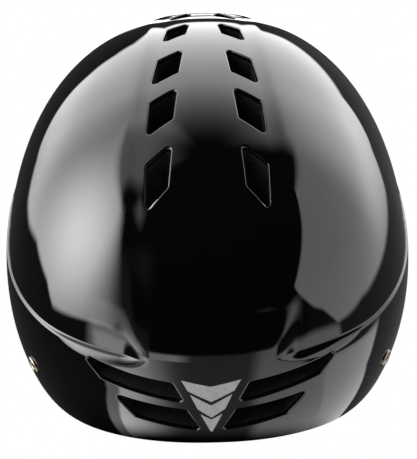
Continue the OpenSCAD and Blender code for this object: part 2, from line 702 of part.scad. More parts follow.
// A buckle body whose end is open for the webbing and crossed by a round bar
module webbing_end(l) {
    difference() {
        buckle_half(l);
        translate([l - 2 * bar_r - web_slot, -slot_w / 2, -buckle_t]) cube([l, slot_w, 2 * buckle_t]);
    }
    translate([l - bar_r, slot_w / 2 + 1, 0]) rotate([90, 0, 0]) cylinder(r = bar_r, h = slot_w + 2);
}
module buckle_socket() {
    color(plastic_black) translate([buckle_x, divider_y, chin_z]) difference() {
        webbing_end(socket_l);
        translate([-1, -mouth_w / 2, -mouth_t / 2]) cube([prong_l + 2.5, mouth_w, mouth_t]);
        translate([window_x, -buckle_w, -mouth_t / 2]) cube([window_l, 2 * buckle_w, mouth_t]);
    }
}
module buckle_plug() {
    color(plastic_black) translate([buckle_x, divider_y, chin_z]) {
        mirror([1, 0, 0]) translate([fit, 0, 0]) webbing_end(plug_l - fit);
        translate([-fit, -2.2, -mouth_t / 2 + fit]) cube([prong_l - 4, 4.4, mouth_t - 2 * fit]);
    }
}
// Two flexing side prongs with release shoulders, which fill the socket's side windows
module plug_prongs() {
    color("#2e2f33") translate([buckle_x, divider_y, chin_z]) for (s = [1, -1]) scale([1, s, 1])
        translate([0, 0, -mouth_t / 2 + fit]) linear_extrude(mouth_t - 2 * fit) polygon([
            [fit, mouth_w / 2 - prong_t - fit], [prong_l, mouth_w / 2 - prong_t - 1],
            [prong_l + 1, mouth_w / 2 - 2], [window_x + window_l - 0.4, mouth_w / 2 - fit],
            [window_x + window_l - 2.5, buckle_w / 2 - 0.6], [window_x + 0.4, buckle_w / 2 - 0.6],
            [window_x + 0.4, mouth_w / 2 - fit], [fit, mouth_w / 2 - fit]
        ]);
}
keeper_x = plug_bar_x - 24;
module strap_keeper() {
    in_t = 4 * layer + 0.5;
    color("#18191b") translate([keeper_x, divider_y, chin_z]) rotate([90, 0, 90])
        translate([0, 0, -keeper_l / 2]) linear_extrude(keeper_l) difference() {
            square([web_w + 4, in_t + 3], center = true);
            square([web_w + 0.6, in_t], center = true);
        }
}

// Headband halves, their pins and the hangers that carry the dial unit

pin_r = 2;
pin_l = 9;
pin_head_r = 4;
pin_head_t = 1.4;
pin_seat = 0.55;
rack_t = 2.4;
plate_gap = 0.25;
rack_y = dial_y + base_t + plate_gap + 0.35;
band_d = cavity_d - head_band_t / 2 - 0.9;
paddle_x = housing_half + rack_travel + 1;
paddle_l = 9;
hook_y = rack_y + rack_t + 0.2 + head_band_t / 2;

function face_out(t, z) = unit(cross(wall_pt(t + 2, z, band_d) - wall_pt(t - 2, z, band_d),
    wall_pt(t, z + 3, band_d) - wall_pt(t, z - 3, band_d)));
temple_start = temple_pin_t - 5;
function band_z(t) = mix(temple_pin_z, dial_z, smooth((t - temple_pin_t) / (152 - temple_pin_t)));
band_steps = [for (t = [temple_start : 8 : 140])
    [wall_pt(t, band_z(t), band_d), face_out(t, max(0, band_z(t)))]];
band_route = concat(band_steps, [
    [[paddle_x + paddle_l + 8, hook_y - 11, dial_z + 0.6], unit([0.8, 0.6, 0])],
    [[paddle_x + paddle_l + 4.5, hook_y - 2.4, dial_z], unit([0.4, 0.92, 0])],
    [[paddle_x + paddle_l + 0.8, hook_y, dial_z], [0, 1, 0]],
    [[paddle_x, hook_y, dial_z], [0, 1, 0]]
]);
module headband() {
    color(plastic_black) difference() {
        ribbon([for (p = band_route) p[0]], [for (p = band_route) p[1]], head_band_w, head_band_t);
        on_face(wall_pt(temple_pin_t, temple_pin_z, band_d), face_out(temple_pin_t, temple_pin_z))
            cylinder(r = pin_r + 0.1, h = 10, center = true);
        translate([paddle_x + paddle_l / 2, hook_y, dial_z]) rotate([90, 0, 0])
            cylinder(r = stud_r + 0.1, h = 10, center = true);
    }
}
stud_r = 1.5;
module right_headband() { headband(); }
module left_headband() { mirror([1, 0, 0]) headband(); }

hanger_x = 12;
hanger_w = 10;
hanger_t = 1.5;
hanger_pin_z = 12;
hanger_d = cavity_d - hanger_t / 2 - 1;
hanger_angle = 180 - asin(hanger_x / (shell_back + cavity_d));
hanger_y = dial_y - 0.1 - hanger_t / 2;
hanger_low = [
    [hanger_x, hanger_y, dial_z + 6], [hanger_x, hanger_y, dial_z + housing_r + 2]
];
hanger_high = [for (z = [-6, 2, hanger_pin_z, hanger_pin_z + 8])
    wall_pt(hanger_angle, z, hanger_d - (z < 0 ? 3 : 0))];
hanger_route = concat(hanger_low, hanger_high);
hanger_faces = concat([[0, 1, 0], [0, 1, 0], unit([0, 1, -0.5])],
    [for (z = [2, hanger_pin_z, hanger_pin_z + 8]) face_out(hanger_angle, z)]);
hanger_pin = [wall_pt(hanger_angle, hanger_pin_z, hanger_d), face_out(hanger_angle, hanger_pin_z)];
band_pin_places = [
    [wall_pt(temple_pin_t, temple_pin_z, band_d), face_out(temple_pin_t, temple_pin_z)], hanger_pin
];
module headband_pins() {
    color("#3b3d42") right_and_left() for (p = band_pin_places) on_face(p[0], p[1]) {
        translate([0, 0, -head_band_t / 2 - pin_seat - pin_head_t]) cylinder(r = pin_head_r, h = pin_head_t);
        translate([0, 0, -head_band_t / 2 - pin_seat - 0.1]) cylinder(r = pin_r, h = pin_l);
    }
}
module cradle_hangers() {
    color(plastic_black) right_and_left() difference() {
        ribbon(hanger_route, hanger_faces, hanger_w, hanger_t);
        on_face(hanger_pin[0], hanger_pin[1]) cylinder(r = pin_r + 0.1, h = 10, center = true);
    }
}

// Dial unit: base, housing, racks, pinion and dial, built about the dial's axis along +Y

axle_r = 3;
stub_r = 2;
rack_add = 0.65 * gear_m;
rack_ded = 1.15 * gear_m;
pitch_r = gear_m * pinion_teeth / 2;
rack_back = 2.9;
rack_top = pitch_r + rack_ded + rack_back;
backlash = 0.16;
// Half the height of the racks' chamber, and the screws that stand over it inside the housing's round ends
chamber_top = rack_top + fit + 0.1;
screw_r = 1.1;
screw_inset = 2.7;
screw_h = chamber_top + screw_r + 0.65;
screw_x = housing_half - housing_r + sqrt(pow(housing_r - screw_inset, 2) - screw_h * screw_h);
housing_y = dial_y + base_t + 0.2;
chamber_t = rack_t + 0.9;

// A plate in the XZ plane with round ends, from y along +Y
module stadium(half, r, y, t) {
    translate([0, y + t, dial_z]) rotate([90, 0, 0]) linear_extrude(t) {
        square([2 * (half - r), 2 * r], center = true);
        for (s = [-1, 1]) translate([s * (half - r), 0]) circle(r = r);
    }
}
// A cylinder along +Y from y
module along_y(x, h, r, y, t) {
    translate([x, y + t, dial_z + h]) rotate([90, 0, 0]) cylinder(r = r, h = t);
}
module screw_spots() {
    for (x = [-screw_x, screw_x], h = [-screw_h, screw_h]) translate([x, 0, h]) children();
}

module dial_base() {
    color(plastic_black) difference() {
        stadium(housing_half, housing_r, dial_y, base_t);
        along_y(0, 0, stub_r + running, dial_y - 1, base_t + 2);
        screw_spots() along_y(0, 0, screw_r + 0.25, dial_y - 1, base_t + 2);
    }
}
// A box that opens the housing's front, from one corner in plan to the other
module chamber(x0, h0, x1, h1) {
    translate([x0, housing_y - 1, dial_z + h0]) cube([x1 - x0, chamber_t + 1, h1 - h0]);
}
module dial_housing() {
    end_wall = 4;
    rack_low = pitch_r - rack_add - fit;
    color(plastic_black) difference() {
        stadium(housing_half, housing_r, housing_y, housing_t);
        chamber(-housing_half + end_wall, -chamber_top, housing_half - end_wall, chamber_top);
        chamber(0, rack_low, housing_half + 1, chamber_top);
        chamber(-housing_half - 1, -chamber_top, 0, -rack_low);
        along_y(0, 0, axle_r + running, housing_y, housing_t + 2);
        screw_spots() along_y(0, 0, screw_r, housing_y - 1, 5);
    }
}
module housing_screws() {
    color("#8d8f92") screw_spots() {
        along_y(0, 0, 2 * screw_r, dial_y - 1.1, 1);
        along_y(0, 0, screw_r - 0.1, dial_y - 0.5, 6);
    }
}

// Involute flank of the pinion, from the base circle out
base_r = pitch_r * cos(20);
function flank(r) = let (a = acos(min(1, base_r / r))) tan(a) * 180 / PI - a;
tooth_half = 90 / pinion_teeth - backlash / pitch_r * 45 / PI + flank(pitch_r);
function polar(r, a) = [r * cos(a), r * sin(a)];
pinion_tip = pitch_r + gear_m;
pinion_root = pitch_r - gear_m;
flank_radii = [for (f = [0 : 0.25 : 1]) mix(base_r, pinion_tip, f)];
pinion_profile = [for (k = [0 : pinion_teeth - 1]) let (m = 90 + 360 * k / pinion_teeth) each concat(
    [polar(pinion_root, m - 180 / pinion_teeth), polar(pinion_root, m - tooth_half)],
    [for (r = flank_radii) polar(r, m - tooth_half + flank(r))],
    [for (i = [4 : -1 : 0]) polar(flank_radii[i], m + tooth_half - flank(flank_radii[i]))],
    [polar(pinion_root, m + tooth_half)]
)];
module dial_pinion() {
    gear_y = rack_y;
    color("#d8d4c8") difference() {
        union() {
            translate([0, gear_y + rack_t, dial_z]) rotate([90, 0, 0])
                linear_extrude(rack_t) polygon(pinion_profile);
            along_y(0, 0, stub_r, dial_y + 0.2, gear_y - dial_y);
            along_y(0, 0, axle_r, gear_y + rack_t - 0.5, housing_y + housing_t - gear_y - rack_t + 0.9);
            translate([-2, housing_y + housing_t, dial_z - 2]) cube([4, 3.2, 4]);
        }
        along_y(0, 0, 1.2, gear_y + 1, 20);
    }
}
knob_y = housing_y + housing_t + 0.5;
grip_depth = 0.9;
module dial_knob() {
    outline = [for (k = [0 : 8 * knob_grips - 1]) let (a = 45 * k / knob_grips)
        polar(knob_r - grip_depth * (0.5 - 0.5 * cos(knob_grips * a)), a)];
    color("#2a2b2f") difference() {
        union() {
            translate([0, knob_y + knob_t - 1.6, dial_z]) rotate([90, 0, 0])
                linear_extrude(knob_t - 3.4) polygon(outline);
            along_y(0, 0, knob_r - 1.6, knob_y, knob_t);
        }
        along_y(0, 0, knob_r - 3.4, knob_y - 1, 3.6);
        along_y(0, 0, knob_r - 5, knob_y + knob_t - 1.2, 3);
        translate([-2.1, knob_y - 1, dial_z - 2.1]) cube([4.2, 4.2, 4.2]);
        along_y(0, 0, 1.4, knob_y - 1, knob_t + 3);
    }
}
module dial_screw() {
    y0 = rack_y + 1.2;
    y1 = knob_y + knob_t - 1.1;
    color("#9ea0a3") difference() {
        union() {
            along_y(0, 0, 1.1, y0, y1 - y0 + 0.5);
            along_y(0, 0, 3, y1, 1.4);
        }
        for (a = [0, 90]) translate([0, y1 + 1.4, dial_z]) rotate([0, a, 0])
            cube([3.6, 1.4, 0.8], center = true);
    }
}
module click_spring() {
    r = knob_r - 5;
    color("#c4c6c8") difference() {
        union() {
            along_y(0, 0, r, knob_y - 0.4, 0.3);
            along_y(0, 0, 5.5, knob_y - 0.4, 0.3);
            along_y(r - 1.5, 0, 1, knob_y - 0.4, 1.2);
            along_y(-r + 1.5, 0, 1, knob_y - 0.4, 1.2);
        }
        along_y(0, 0, axle_r + 0.4, knob_y - 1, 3);
        for (s = [-1, 1]) translate([-r, knob_y - 1, dial_z + s * (r / 2 + 1.6) - r / 2 + 1.6])
            cube([2 * r, 0.9, r - 3.2]);
    }
}

// A rack above the axis whose paddle lies to the right
module rack() {
    pitch = PI * gear_m;
    half_gap = pitch / 4 + backlash / 4;
    lean = tan(20);
    teeth = 9;
    low = pitch_r - rack_add;
    root = pitch_r + rack_ded;
    left = -(teeth / 2) * pitch;
    profile = concat(
        [[left, rack_top], [left, low]],
        [for (k = [-(teeth - 1) / 2 : (teeth - 1) / 2]) let (x = k * pitch) each [
            [x - half_gap - rack_add * lean, low], [x - half_gap + rack_ded * lean, root],
            [x + half_gap - rack_ded * lean, root], [x + half_gap + rack_add * lean, low]]],
        [[-left, low], [paddle_x, low], [paddle_x, -6], [paddle_x + paddle_l, -6],
            [paddle_x + paddle_l, rack_top], [paddle_x, rack_top]]
    );
    difference() {
        translate([0, rack_y + rack_t, dial_z]) rotate([90, 0, 0]) linear_extrude(rack_t) polygon(profile);
        along_y(paddle_x + paddle_l / 2, 0, 0.8, rack_y - 1, 10);
    }
    difference() {
        along_y(paddle_x + paddle_l / 2, 0, stud_r, rack_y + rack_t - 0.2, head_band_t + 1.6);
        along_y(paddle_x + paddle_l / 2, 0, 0.8, rack_y - 1, 10);
    }
}
module right_rack() { color("#34363a") rack(); }
module left_rack() {
    color("#34363a") translate([0, 0, dial_z]) rotate([0, 180, 0]) translate([0, 0, -dial_z]) rack();
}
module cradle_pad() {
    nu = 14;
    nv = 8;
    half = housing_half - 2;
    y = hanger_y - hanger_t / 2 - fit;
    function at(u, v, lift) = let (c = corner(u, v))
        [-c[0] * half, y - lift, dial_z + c[1] * (housing_r - 1)];
    color(pad_grey) sheet_solid(
        [for (i = [0 : nu]) [for (j = [0 : nv]) let (u = 2 * i / nu - 1, v = 2 * j / nv - 1)
            at(u * 0.96, v * 0.94, 0.5 * cushion_h(u, v, [-0.34, 0.34]) + 0.4)]],
        [for (i = [0 : nu]) [for (j = [0 : nv]) at(2 * i / nu - 1, 2 * j / nv - 1, 0)]]
    );
}

outer_shell();
foam_liner();
reflective_chevrons();
strap_eyelets();
eyelet_washers();
brow_pad();
crown_pad();
left_side_pad();
right_side_pad();
rear_pad();
pad_discs();
left_front_strap();
right_front_strap();
left_rear_strap();
right_rear_strap();
left_divider();
right_divider();
left_cam_lever();
right_cam_lever();
left_chin_strap();
right_chin_strap();
buckle_socket();
buckle_plug();
plug_prongs();
strap_keeper();
left_headband();
right_headband();
headband_pins();
cradle_hangers();
dial_base();
dial_housing();
housing_screws();
dial_pinion();
dial_knob();
dial_screw();
click_spring();
left_rack();
right_rack();
cradle_pad();
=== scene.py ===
# Bicycle helmet: hard glossy shell, foam liner, comfort pads, dial-adjusted headband, webbing and buckle.
# The studio is in metres and degrees. The pieces' sizes are in millimetres and degrees, and their meshes are
# made in metres in the model's frame.
import json
import math

import bmesh
import bpy
import numpy as np
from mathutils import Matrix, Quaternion, Vector


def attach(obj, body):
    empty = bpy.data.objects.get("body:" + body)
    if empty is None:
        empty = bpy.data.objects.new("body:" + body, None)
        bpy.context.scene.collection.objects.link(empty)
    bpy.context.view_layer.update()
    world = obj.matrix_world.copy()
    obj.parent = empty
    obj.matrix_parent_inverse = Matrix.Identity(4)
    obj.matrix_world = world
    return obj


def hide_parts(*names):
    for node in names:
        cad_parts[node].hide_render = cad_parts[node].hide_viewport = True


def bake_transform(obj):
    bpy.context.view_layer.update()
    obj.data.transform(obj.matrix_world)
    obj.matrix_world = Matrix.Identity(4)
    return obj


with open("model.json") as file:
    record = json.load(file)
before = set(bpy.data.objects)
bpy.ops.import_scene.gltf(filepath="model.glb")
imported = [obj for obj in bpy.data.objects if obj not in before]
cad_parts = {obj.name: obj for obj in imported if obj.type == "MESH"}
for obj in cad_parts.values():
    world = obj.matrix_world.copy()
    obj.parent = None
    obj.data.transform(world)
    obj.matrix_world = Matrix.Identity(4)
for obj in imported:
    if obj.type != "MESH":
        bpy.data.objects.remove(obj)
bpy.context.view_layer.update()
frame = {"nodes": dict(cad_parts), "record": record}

# The studio. A long-lens camera stands before the brow and looks down on the crown, over a pale floor.
# Large soft panels stand to the left, the right and behind, and leave the middle dark, as gloss black is lit.
MM = 0.001
camera_rise = math.radians(39.7)
camera_turn = math.radians(-0.5)
camera_roll = math.radians(-0.8)
camera_distance = 1.3
camera_aim = Vector((0, 0, 0.057))
camera_lens = 197.6
frame_long_side = 459
aim_off_centre = (-1.6, 6.3)
floor_z = -0.108

away = Vector((
    math.sin(camera_turn) * math.cos(camera_rise),
    -math.cos(camera_turn) * math.cos(camera_rise),
    math.sin(camera_rise),
))
bpy.ops.object.camera_add(location=camera_aim + camera_distance * away)
camera = bpy.context.object
camera.rotation_mode = "QUATERNION"
camera.rotation_quaternion = (-away).to_track_quat("-Z", "Y") @ Quaternion((0, 0, 1), camera_roll)
camera.data.lens = camera_lens
camera.data.sensor_width = 36
camera.data.shift_x = -aim_off_centre[0] / frame_long_side
camera.data.shift_y = -aim_off_centre[1] / frame_long_side
bpy.context.scene.camera = camera
bpy.context.scene.view_settings.view_transform = "Standard"


def feed(node, inputs):
    """Sets the inputs of a node to values, or links them to sockets."""
    for name, value in inputs.items():
        if isinstance(value, bpy.types.NodeSocket):
            node.id_data.links.new(value, node.inputs[name])
        else:
            node.inputs[name].default_value = value


def add(tree, kind, inputs=None, **settings):
    """Adds a node to a tree with its settings, values and links."""
    made = tree.nodes.new(kind)
    for name, value in settings.items():
        setattr(made, name, value)
    feed(made, inputs or {})
    return made


# Panels of light, in degrees. Each has its first and last azimuth and the softness of both, its lowest and
# highest height and the softness of both, its brightness, and a hot spot or None: the spot's azimuth,
# height, radius and added brightness. Azimuths start behind, and in front for the low panels.
wide_panels = [
    ((66, 150, 14, 3), (-60, 44, 3, 4), 2.1, None),
    ((-42, 66, 16, 14), (-18, 50, 16, 34), 4.1, None),
    ((-125, -44, 13, 14), (-60, 46, 2.5, 6), 3.2, (-99, 14, 24, 10.5)),
    ((-110, -30, 12, 10), (44, 72, 10, 14), 1.5, None),
]
dim_panels = [
    ((-130, 12, 20, 8), (-60, 0, 12, 6), 0.045, None),
    ((12, 120, 8, 20), (-60, 0, 12, 6), 0.12, None),
    ((-6, 6, 2, 2), (-60, -21, 4, 1.5), 3.0, None),
]
low_panels = [
    ((-58, -49, 1.5, 1.5), (-66, -24, 6, 2), 1.3, None),
    ((-60, -49, 3, 1.5), (-34, -19, 2, 2), 2.2, None),
    ((-49, -26, 1.5, 20), (-66, -21, 6, 2), 4.6, None),
    ((-31, -10, 4, 5), (-21, -5, 2, 4), 2.6, None),
    ((-60, -38, 4, 6), (-20, -7, 2, 3), 1.2, None),
    ((-62, -30, 4, 6), (-8, 26, 3, 10), 0.12, None),
    ((-12, 20, 5, 5), (-66, -4, 8, 4), 0.3, None),
    ((20, 46, 5, 4), (-68, -3, 6, 4), 1.4, None),
    ((46, 66, 4, 1.5), (-68, -26, 6, 3), 1.4, None),
    ((66, 108, 1.5, 2), (-66, -37, 6, 3), 1.8, None),
]
# The lower and upper edges of the wide panels, as azimuths and heights
lower_edge = [
    (-180, 5), (-134, -12), (-128, -20), (-92, -22), (-82, -17), (-65, -15), (-53, -19), (-42, -21),
    (-33, -20), (-30, -13), (-26, -4), (-20, 1), (-14, 1.5), (-7, -4), (-2, -11), (4, -11.5), (9, -5),
    (14, -8), (31, -9), (34, -19), (40, -22), (95, -20), (115, -25), (138, 5), (180, 40),
]
upper_edge = [
    (-180, 20), (-140, 36), (-126, 56), (-115, 90), (98, 90), (101, 58), (106, 41), (118, 27), (138, 5),
    (180, -20),
]
lower_soft, upper_soft = 1.6, 2.5
# The depression from which the low panels spread out towards the floor, and how much
spread_from, spread = 47, 0.0145
# The even brightness that every surface without gloss sees
ambient = 0.72

studio = bpy.data.worlds.new("studio")
bpy.context.scene.world = studio
studio.use_nodes = True
sky = studio.node_tree
sky.nodes.clear()
look = add(sky, "ShaderNodeTexCoord").outputs["Generated"]
parts = add(sky, "ShaderNodeSeparateXYZ", {"Vector": look})


def reckon(operation, *values):
    """A Math node of the sky on values or sockets."""
    return add(sky, "ShaderNodeMath", dict(enumerate(values)), operation=operation).outputs[0]


def past(value, edge, soft, rising=True):
    """1 on one side of an edge and 0 on the other, with a smooth change between."""
    low, high = (0.0, 1.0) if rising else (1.0, 0.0)
    return add(sky, "ShaderNodeMapRange", {
        "Value": value, "From Min": edge - soft, "From Max": edge + soft, "To Min": low, "To Max": high,
    }, interpolation_type="SMOOTHSTEP").outputs[0]


def skyline(turn, points):
    """The height of an edge at an azimuth."""
    curve = add(sky, "ShaderNodeFloatCurve", {"Value": reckon("MULTIPLY_ADD", turn, 1 / 360, 0.5)})
    line = curve.mapping.curves[0]
    shares = [((a + 180) / 360, (h + 90) / 180) for a, h in points]
    line.points[0].location, line.points[-1].location = shares[0], shares[-1]
    for share in shares[1:-1]:
        line.points.new(*share)
    for point in line.points:
        point.handle_type = "VECTOR"
    curve.mapping.update()
    return reckon("MULTIPLY_ADD", curve.outputs[0], 180.0, -90.0)


forwards = reckon("MULTIPLY", parts.outputs["Y"], -1.0)
from_behind = reckon("DEGREES", reckon("ARCTAN2", parts.outputs["X"], parts.outputs["Y"]))
from_front = reckon("DEGREES", reckon("ARCTAN2", parts.outputs["X"], forwards))
height = reckon("DEGREES", reckon("ARCSINE", parts.outputs["Z"]))
below = reckon("MINIMUM", reckon("ADD", height, spread_from), 0.0)
spreading = reckon("MULTIPLY", from_front, reckon("MULTIPLY_ADD", below, spread, 1.0))
over_edge = past(reckon("SUBTRACT", height, skyline(from_behind, lower_edge)), 0, lower_soft)
under_edge = past(reckon("SUBTRACT", height, skyline(from_behind, upper_edge)), 0, upper_soft, False)
between_edges = reckon("MULTIPLY", over_edge, under_edge)


def framed(light, turn, across, upright):
    """A light that fades out past its sides, its foot and its top."""
    first, last, first_soft, last_soft = across
    low, high, low_soft, high_soft = upright
    for edge in (past(turn, first, first_soft), past(turn, last, last_soft, False),
                 past(height, low, low_soft), past(height, high, high_soft, False)):
        light = reckon("MULTIPLY", edge, light)
    return light


total = 0.0
for turn, within, panels in (
    (from_behind, between_edges, wide_panels),
    (from_behind, 1.0, dim_panels),
    (spreading, 1.0, low_panels),
):
    for across, upright, light, hot in panels:
        if hot:
            hot_turn, hot_height, r, extra = hot
            spot_across = (hot_turn - r, hot_turn + r, r, r)
            spot_upright = (hot_height - r, hot_height + r, r, r)
            light = reckon("ADD", framed(extra, turn, spot_across, spot_upright), light)
        light = reckon("MULTIPLY", within, framed(light, turn, across, upright))
        total = reckon("ADD", light, total)
glossy = add(sky, "ShaderNodeLightPath").outputs["Is Glossy Ray"]
shown = add(sky, "ShaderNodeMix", {"Factor": glossy, 2: ambient, 3: total}, data_type="FLOAT")
glow = add(sky, "ShaderNodeBackground", {"Color": (1, 1, 1, 1), "Strength": shown.outputs[0]})
add(sky, "ShaderNodeOutputWorld", {"Surface": glow.outputs[0]})

for name, place, size, power in (("key", (-1.1, -0.5, 1.5), 1.4, 26), ("fill", (1.4, 0.4, 1.1), 1.2, 9)):
    bpy.ops.object.light_add(type="AREA", location=place)
    lamp = bpy.context.object
    lamp.name = name
    lamp.data.size = size
    lamp.data.energy = power
    lamp.rotation_mode = "QUATERNION"
    lamp.rotation_quaternion = (camera_aim - Vector(place)).to_track_quat("-Z", "Y")
    lamp.visible_glossy = False


def linear(text):
    """A linear colour from an sRGB hex value such as #1c1c1e."""
    shares = [int(text[i:i + 2], 16) / 255 for i in (1, 3, 5)]
    return tuple(s / 12.92 if s <= 0.04045 else ((s + 0.055) / 1.055) ** 2.4 for s in shares) + (1,)


def finish_of(name):
    """A new material with its tree and shader."""
    made = bpy.data.materials.new(name)
    made.use_nodes = True
    return made, made.node_tree, made.node_tree.nodes["Principled BSDF"]


bpy.ops.mesh.primitive_plane_add(size=12, location=(0, 0, floor_z))
floor = bpy.context.object
floor.name = "floor"
floor.visible_glossy = False
floor.visible_diffuse = False
# Painted light: the floor glows instead of being lit. It is evenly white round the object and fades to the
# studio's pale grey further out, so it shows no shadow.
white_r, grey_r = 0.45, 1.0
glowing_paper, tree, shader = finish_of("glowing_paper_painted_light")
spot = add(tree, "ShaderNodeTexCoord").outputs["Object"]
off_centre = add(tree, "ShaderNodeVectorMath", {0: spot}, operation="LENGTH").outputs["Value"]
painted_light_fall_off = add(tree, "ShaderNodeMapRange", {
    "Value": off_centre, "From Min": white_r, "From Max": grey_r, "To Min": 1.0, "To Max": ambient,
}, interpolation_type="SMOOTHSTEP").outputs[0]
# The glow is painted light in place of lamp light on paper, over a black base with no matt colour
feed(shader, {"Base Color": linear("#000000"), "Specular IOR Level": 0,
              "Emission Color": linear("#ffffff"), "Emission Strength": painted_light_fall_off})
floor.data.materials.append(glowing_paper)

# The outer shell. One sheet of black gloss ABS, thermoformed over a mould and trimmed, with inset side lobes,
# a raised crown band and skirt, and vents whose cut edges are rolled and polished.
shell_half_w, shell_front, shell_back = 102, 105, 140
mid_z, crown_rise, lower_curve = 36, 113.5, 117
front_round, back_round, side_round = 2.2, 2.3, 2.08
shell_wall = 2.4
# The rim's bends: how far each goes up or down, and its angle from the front and its spread
brow_arch, brow_at = 3, (0, 32)
temple_drop, temple_at = 7.5, (52, 22)
ear_rise, ear_at = 14, (98, 24)
nape_drop, nape_from, nape_soft = 12, 130, 8
# The raised frame: the ledge over the skirt, which falls off to the back and peaks over the brow
frame_rise, ledge_z, ledge_soft = 2.2, 51, 1.8
ledge_back, ledge_back_from, ledge_back_fade = 8, 100, 70
ledge_front, ledge_front_at = 5, (0, 36)
shoulder_h, shoulder_r, shoulder_sink = 6.6, 8, 0.6
flank_from, flank_fade = 30, 22
# The crown band between the lobes, which widens to the front and narrows again at the brow
band_half, band_soft = 28, 15
band_flare, flare_from, flare_fade = 13, 60, 130
band_pinch, pinch_from, pinch_fade = 5, -75, 25
band_dip, band_curl, crease_soft = 0.85, 8, 1.8
brow_top, brow_fade = 57, 22
back_start, back_fade, back_share = 94, 9, 0.8
# The lobes' fall or swell over the ledge, and the swell of the brow
lobe_pinch, lobe_pinch_w, lobe_swell, lobe_fade = 1, 16, 1.3, 22
brow_swell, brow_swell_at, brow_swell_z, brow_swell_h = 1.2, (0, 34), 55, 16
# The vents lie in two rows that part towards the front and are widest a little before the middle
vent_r, vent_slant = 1.6, 7.5
vent_in, vent_in_back, vent_in_y, vent_splay = 7, 8, 65, 0.088
vent_out, vent_out_drop, vent_out_y, vent_out_run, vent_least_w = 30, 13, -70, 130, 10
lip_r = 1.0


def smooth(v):
    u = np.clip(v, 0, 1)
    return u * u * (3 - 2 * u)


def off_front(t):
    a = np.abs(t) % 360
    return np.where(a > 180, 360 - a, a)


def bump(t, middle, width):
    return np.exp(-((off_front(t) - middle) / width) ** 2)


def rim(t):
    """The height of the shell's lower edge at an angle from the front."""
    nape = nape_drop / (1 + np.exp((nape_from - off_front(t)) / nape_soft))
    brow, temple, ear = bump(t, *brow_at), bump(t, *temple_at), bump(t, *ear_at)
    return brow_arch * (brow - 1) - temple_drop * temple + ear_rise * ear - nape


def ledge(t):
    """The height of the ledge at an angle from the front."""
    fall = smooth((off_front(t) - ledge_back_from) / ledge_back_fade)
    return ledge_z - ledge_back * fall + ledge_front * bump(t, *ledge_front_at)


def plan_r(t, d):
    """Plan radius at an angle from the front, for a surface moved out by d."""
    across, along = np.sin(np.radians(t)), np.cos(np.radians(t))
    fore = along > 0
    power = np.where(fore, front_round, back_round)
    reach = np.where(fore, shell_front, shell_back) + d
    return (np.abs(across / (shell_half_w + d)) ** power + np.abs(along / reach) ** power) ** (-1 / power)


def rise(a, d):
    return np.where(a > 0, crown_rise + d, lower_curve)


def dome(t, a, d):
    """Point on the plain dome at an angle from the front and an angle above the widest level."""
    c, s = np.cos(np.radians(a)), np.sin(np.radians(a))
    k = (np.abs(c) ** side_round + np.abs(s) ** side_round) ** (-1 / side_round)
    r = plan_r(t, d) * c * k
    return np.stack([r * np.sin(np.radians(t)), -r * np.cos(np.radians(t)), mid_z + s * k * rise(a, d)], -1)


def angles(points, d):
    """The two angles of dome() for points on its surface moved out by d."""
    x, y, z = points[..., 0], points[..., 1], points[..., 2]
    t = np.degrees(np.arctan2(x, -y))
    left = np.hypot(x, y) / plan_r(t, d)
    return t, np.degrees(np.arctan2((z - mid_z) / rise(z - mid_z, d), left))


def height_angle(t, z):
    """The angle of dome() at a height."""
    h = (z - mid_z) / rise(z - mid_z, 0)
    left = np.maximum(1e-9, 1 - np.abs(h) ** side_round) ** (1 / side_round)
    return np.degrees(np.arctan2(h, left))


def proud(points, t):
    """How far the raised frame stands out of the plain dome, and how far its band dips over the crown."""
    x, y, z = points[..., 0], points[..., 1], points[..., 2]
    over_ledge = z - ledge(t)
    wider = band_flare * smooth((flare_from - y) / flare_fade)
    narrower = band_pinch * smooth((pinch_from - y) / pinch_fade)
    past_edge = np.abs(x) - (band_half + wider - narrower)
    flank = smooth((off_front(t) - flank_from) / flank_fade)
    down = np.clip((over_ledge + shoulder_h - shoulder_sink) / shoulder_h, 0, 1) * shoulder_h
    shoulder = 1 - (shoulder_r - np.sqrt(shoulder_r ** 2 - down ** 2)) / (
        shoulder_r - math.sqrt(shoulder_r ** 2 - shoulder_h ** 2))
    crisp = 1 - smooth((over_ledge + ledge_soft / 2) / ledge_soft)
    skirt = shoulder * (1 - flank) + crisp * flank
    band = 1 - smooth(past_edge / band_soft + 0.5)
    at_brow = np.where(y < 0, 1 - smooth((z - brow_top) / brow_fade), 0)
    up = np.maximum(at_brow, back_share * smooth((y - back_start) / back_fade))
    curl = np.minimum(1, (np.hypot(past_edge, crease_soft) - past_edge) / 2 / band_curl)
    pinch = lobe_pinch * (1 - flank) * smooth(past_edge / lobe_pinch_w)
    near_ledge = (pinch - lobe_swell * flank) * (1 - band)
    above = up * frame_rise * band - (1 - up) * band_dip * curl * (2 - curl)
    above = above - near_ledge * np.exp(-np.maximum(0, over_ledge) / lobe_fade)
    swell = brow_swell * bump(t, *brow_swell_at) * np.exp(-((z - brow_swell_z) / brow_swell_h) ** 2)
    return frame_rise * skirt + (1 - skirt) * above + swell * (1 - (1 - skirt) * (1 - band))


def skin(t, a, d=0):
    """Point on the shell's outer face, moved out by d."""
    return dome(t, a, d + proud(dome(t, a, 0), t))


def skin_normal(t, a):
    step = 0.05
    along = skin(t + step, a) - skin(t - step, a)
    up = skin(t, a + step) - skin(t, a - step)
    n = np.cross(along, up)
    return n / np.maximum(1e-12, np.linalg.norm(n, axis=-1, keepdims=True))


def on_skin(points):
    """The nearest way back to the outer face for points close to it, and the normals there."""
    t, a = angles(points, 0)
    for _ in range(3):
        t, a = angles(points, proud(dome(t, a, 0), t))
    steep = np.minimum(a, 89.95)
    return skin(t, a), skin_normal(t, steep)


def vent_inner(y):
    return max(vent_in, vent_in_back + (vent_in_y - y) * vent_splay)


def vent_outer(y):
    drop = vent_out_drop * ((y - vent_out_y) / vent_out_run) ** 2
    return max(vent_out - drop, vent_inner(y) + vent_least_w)


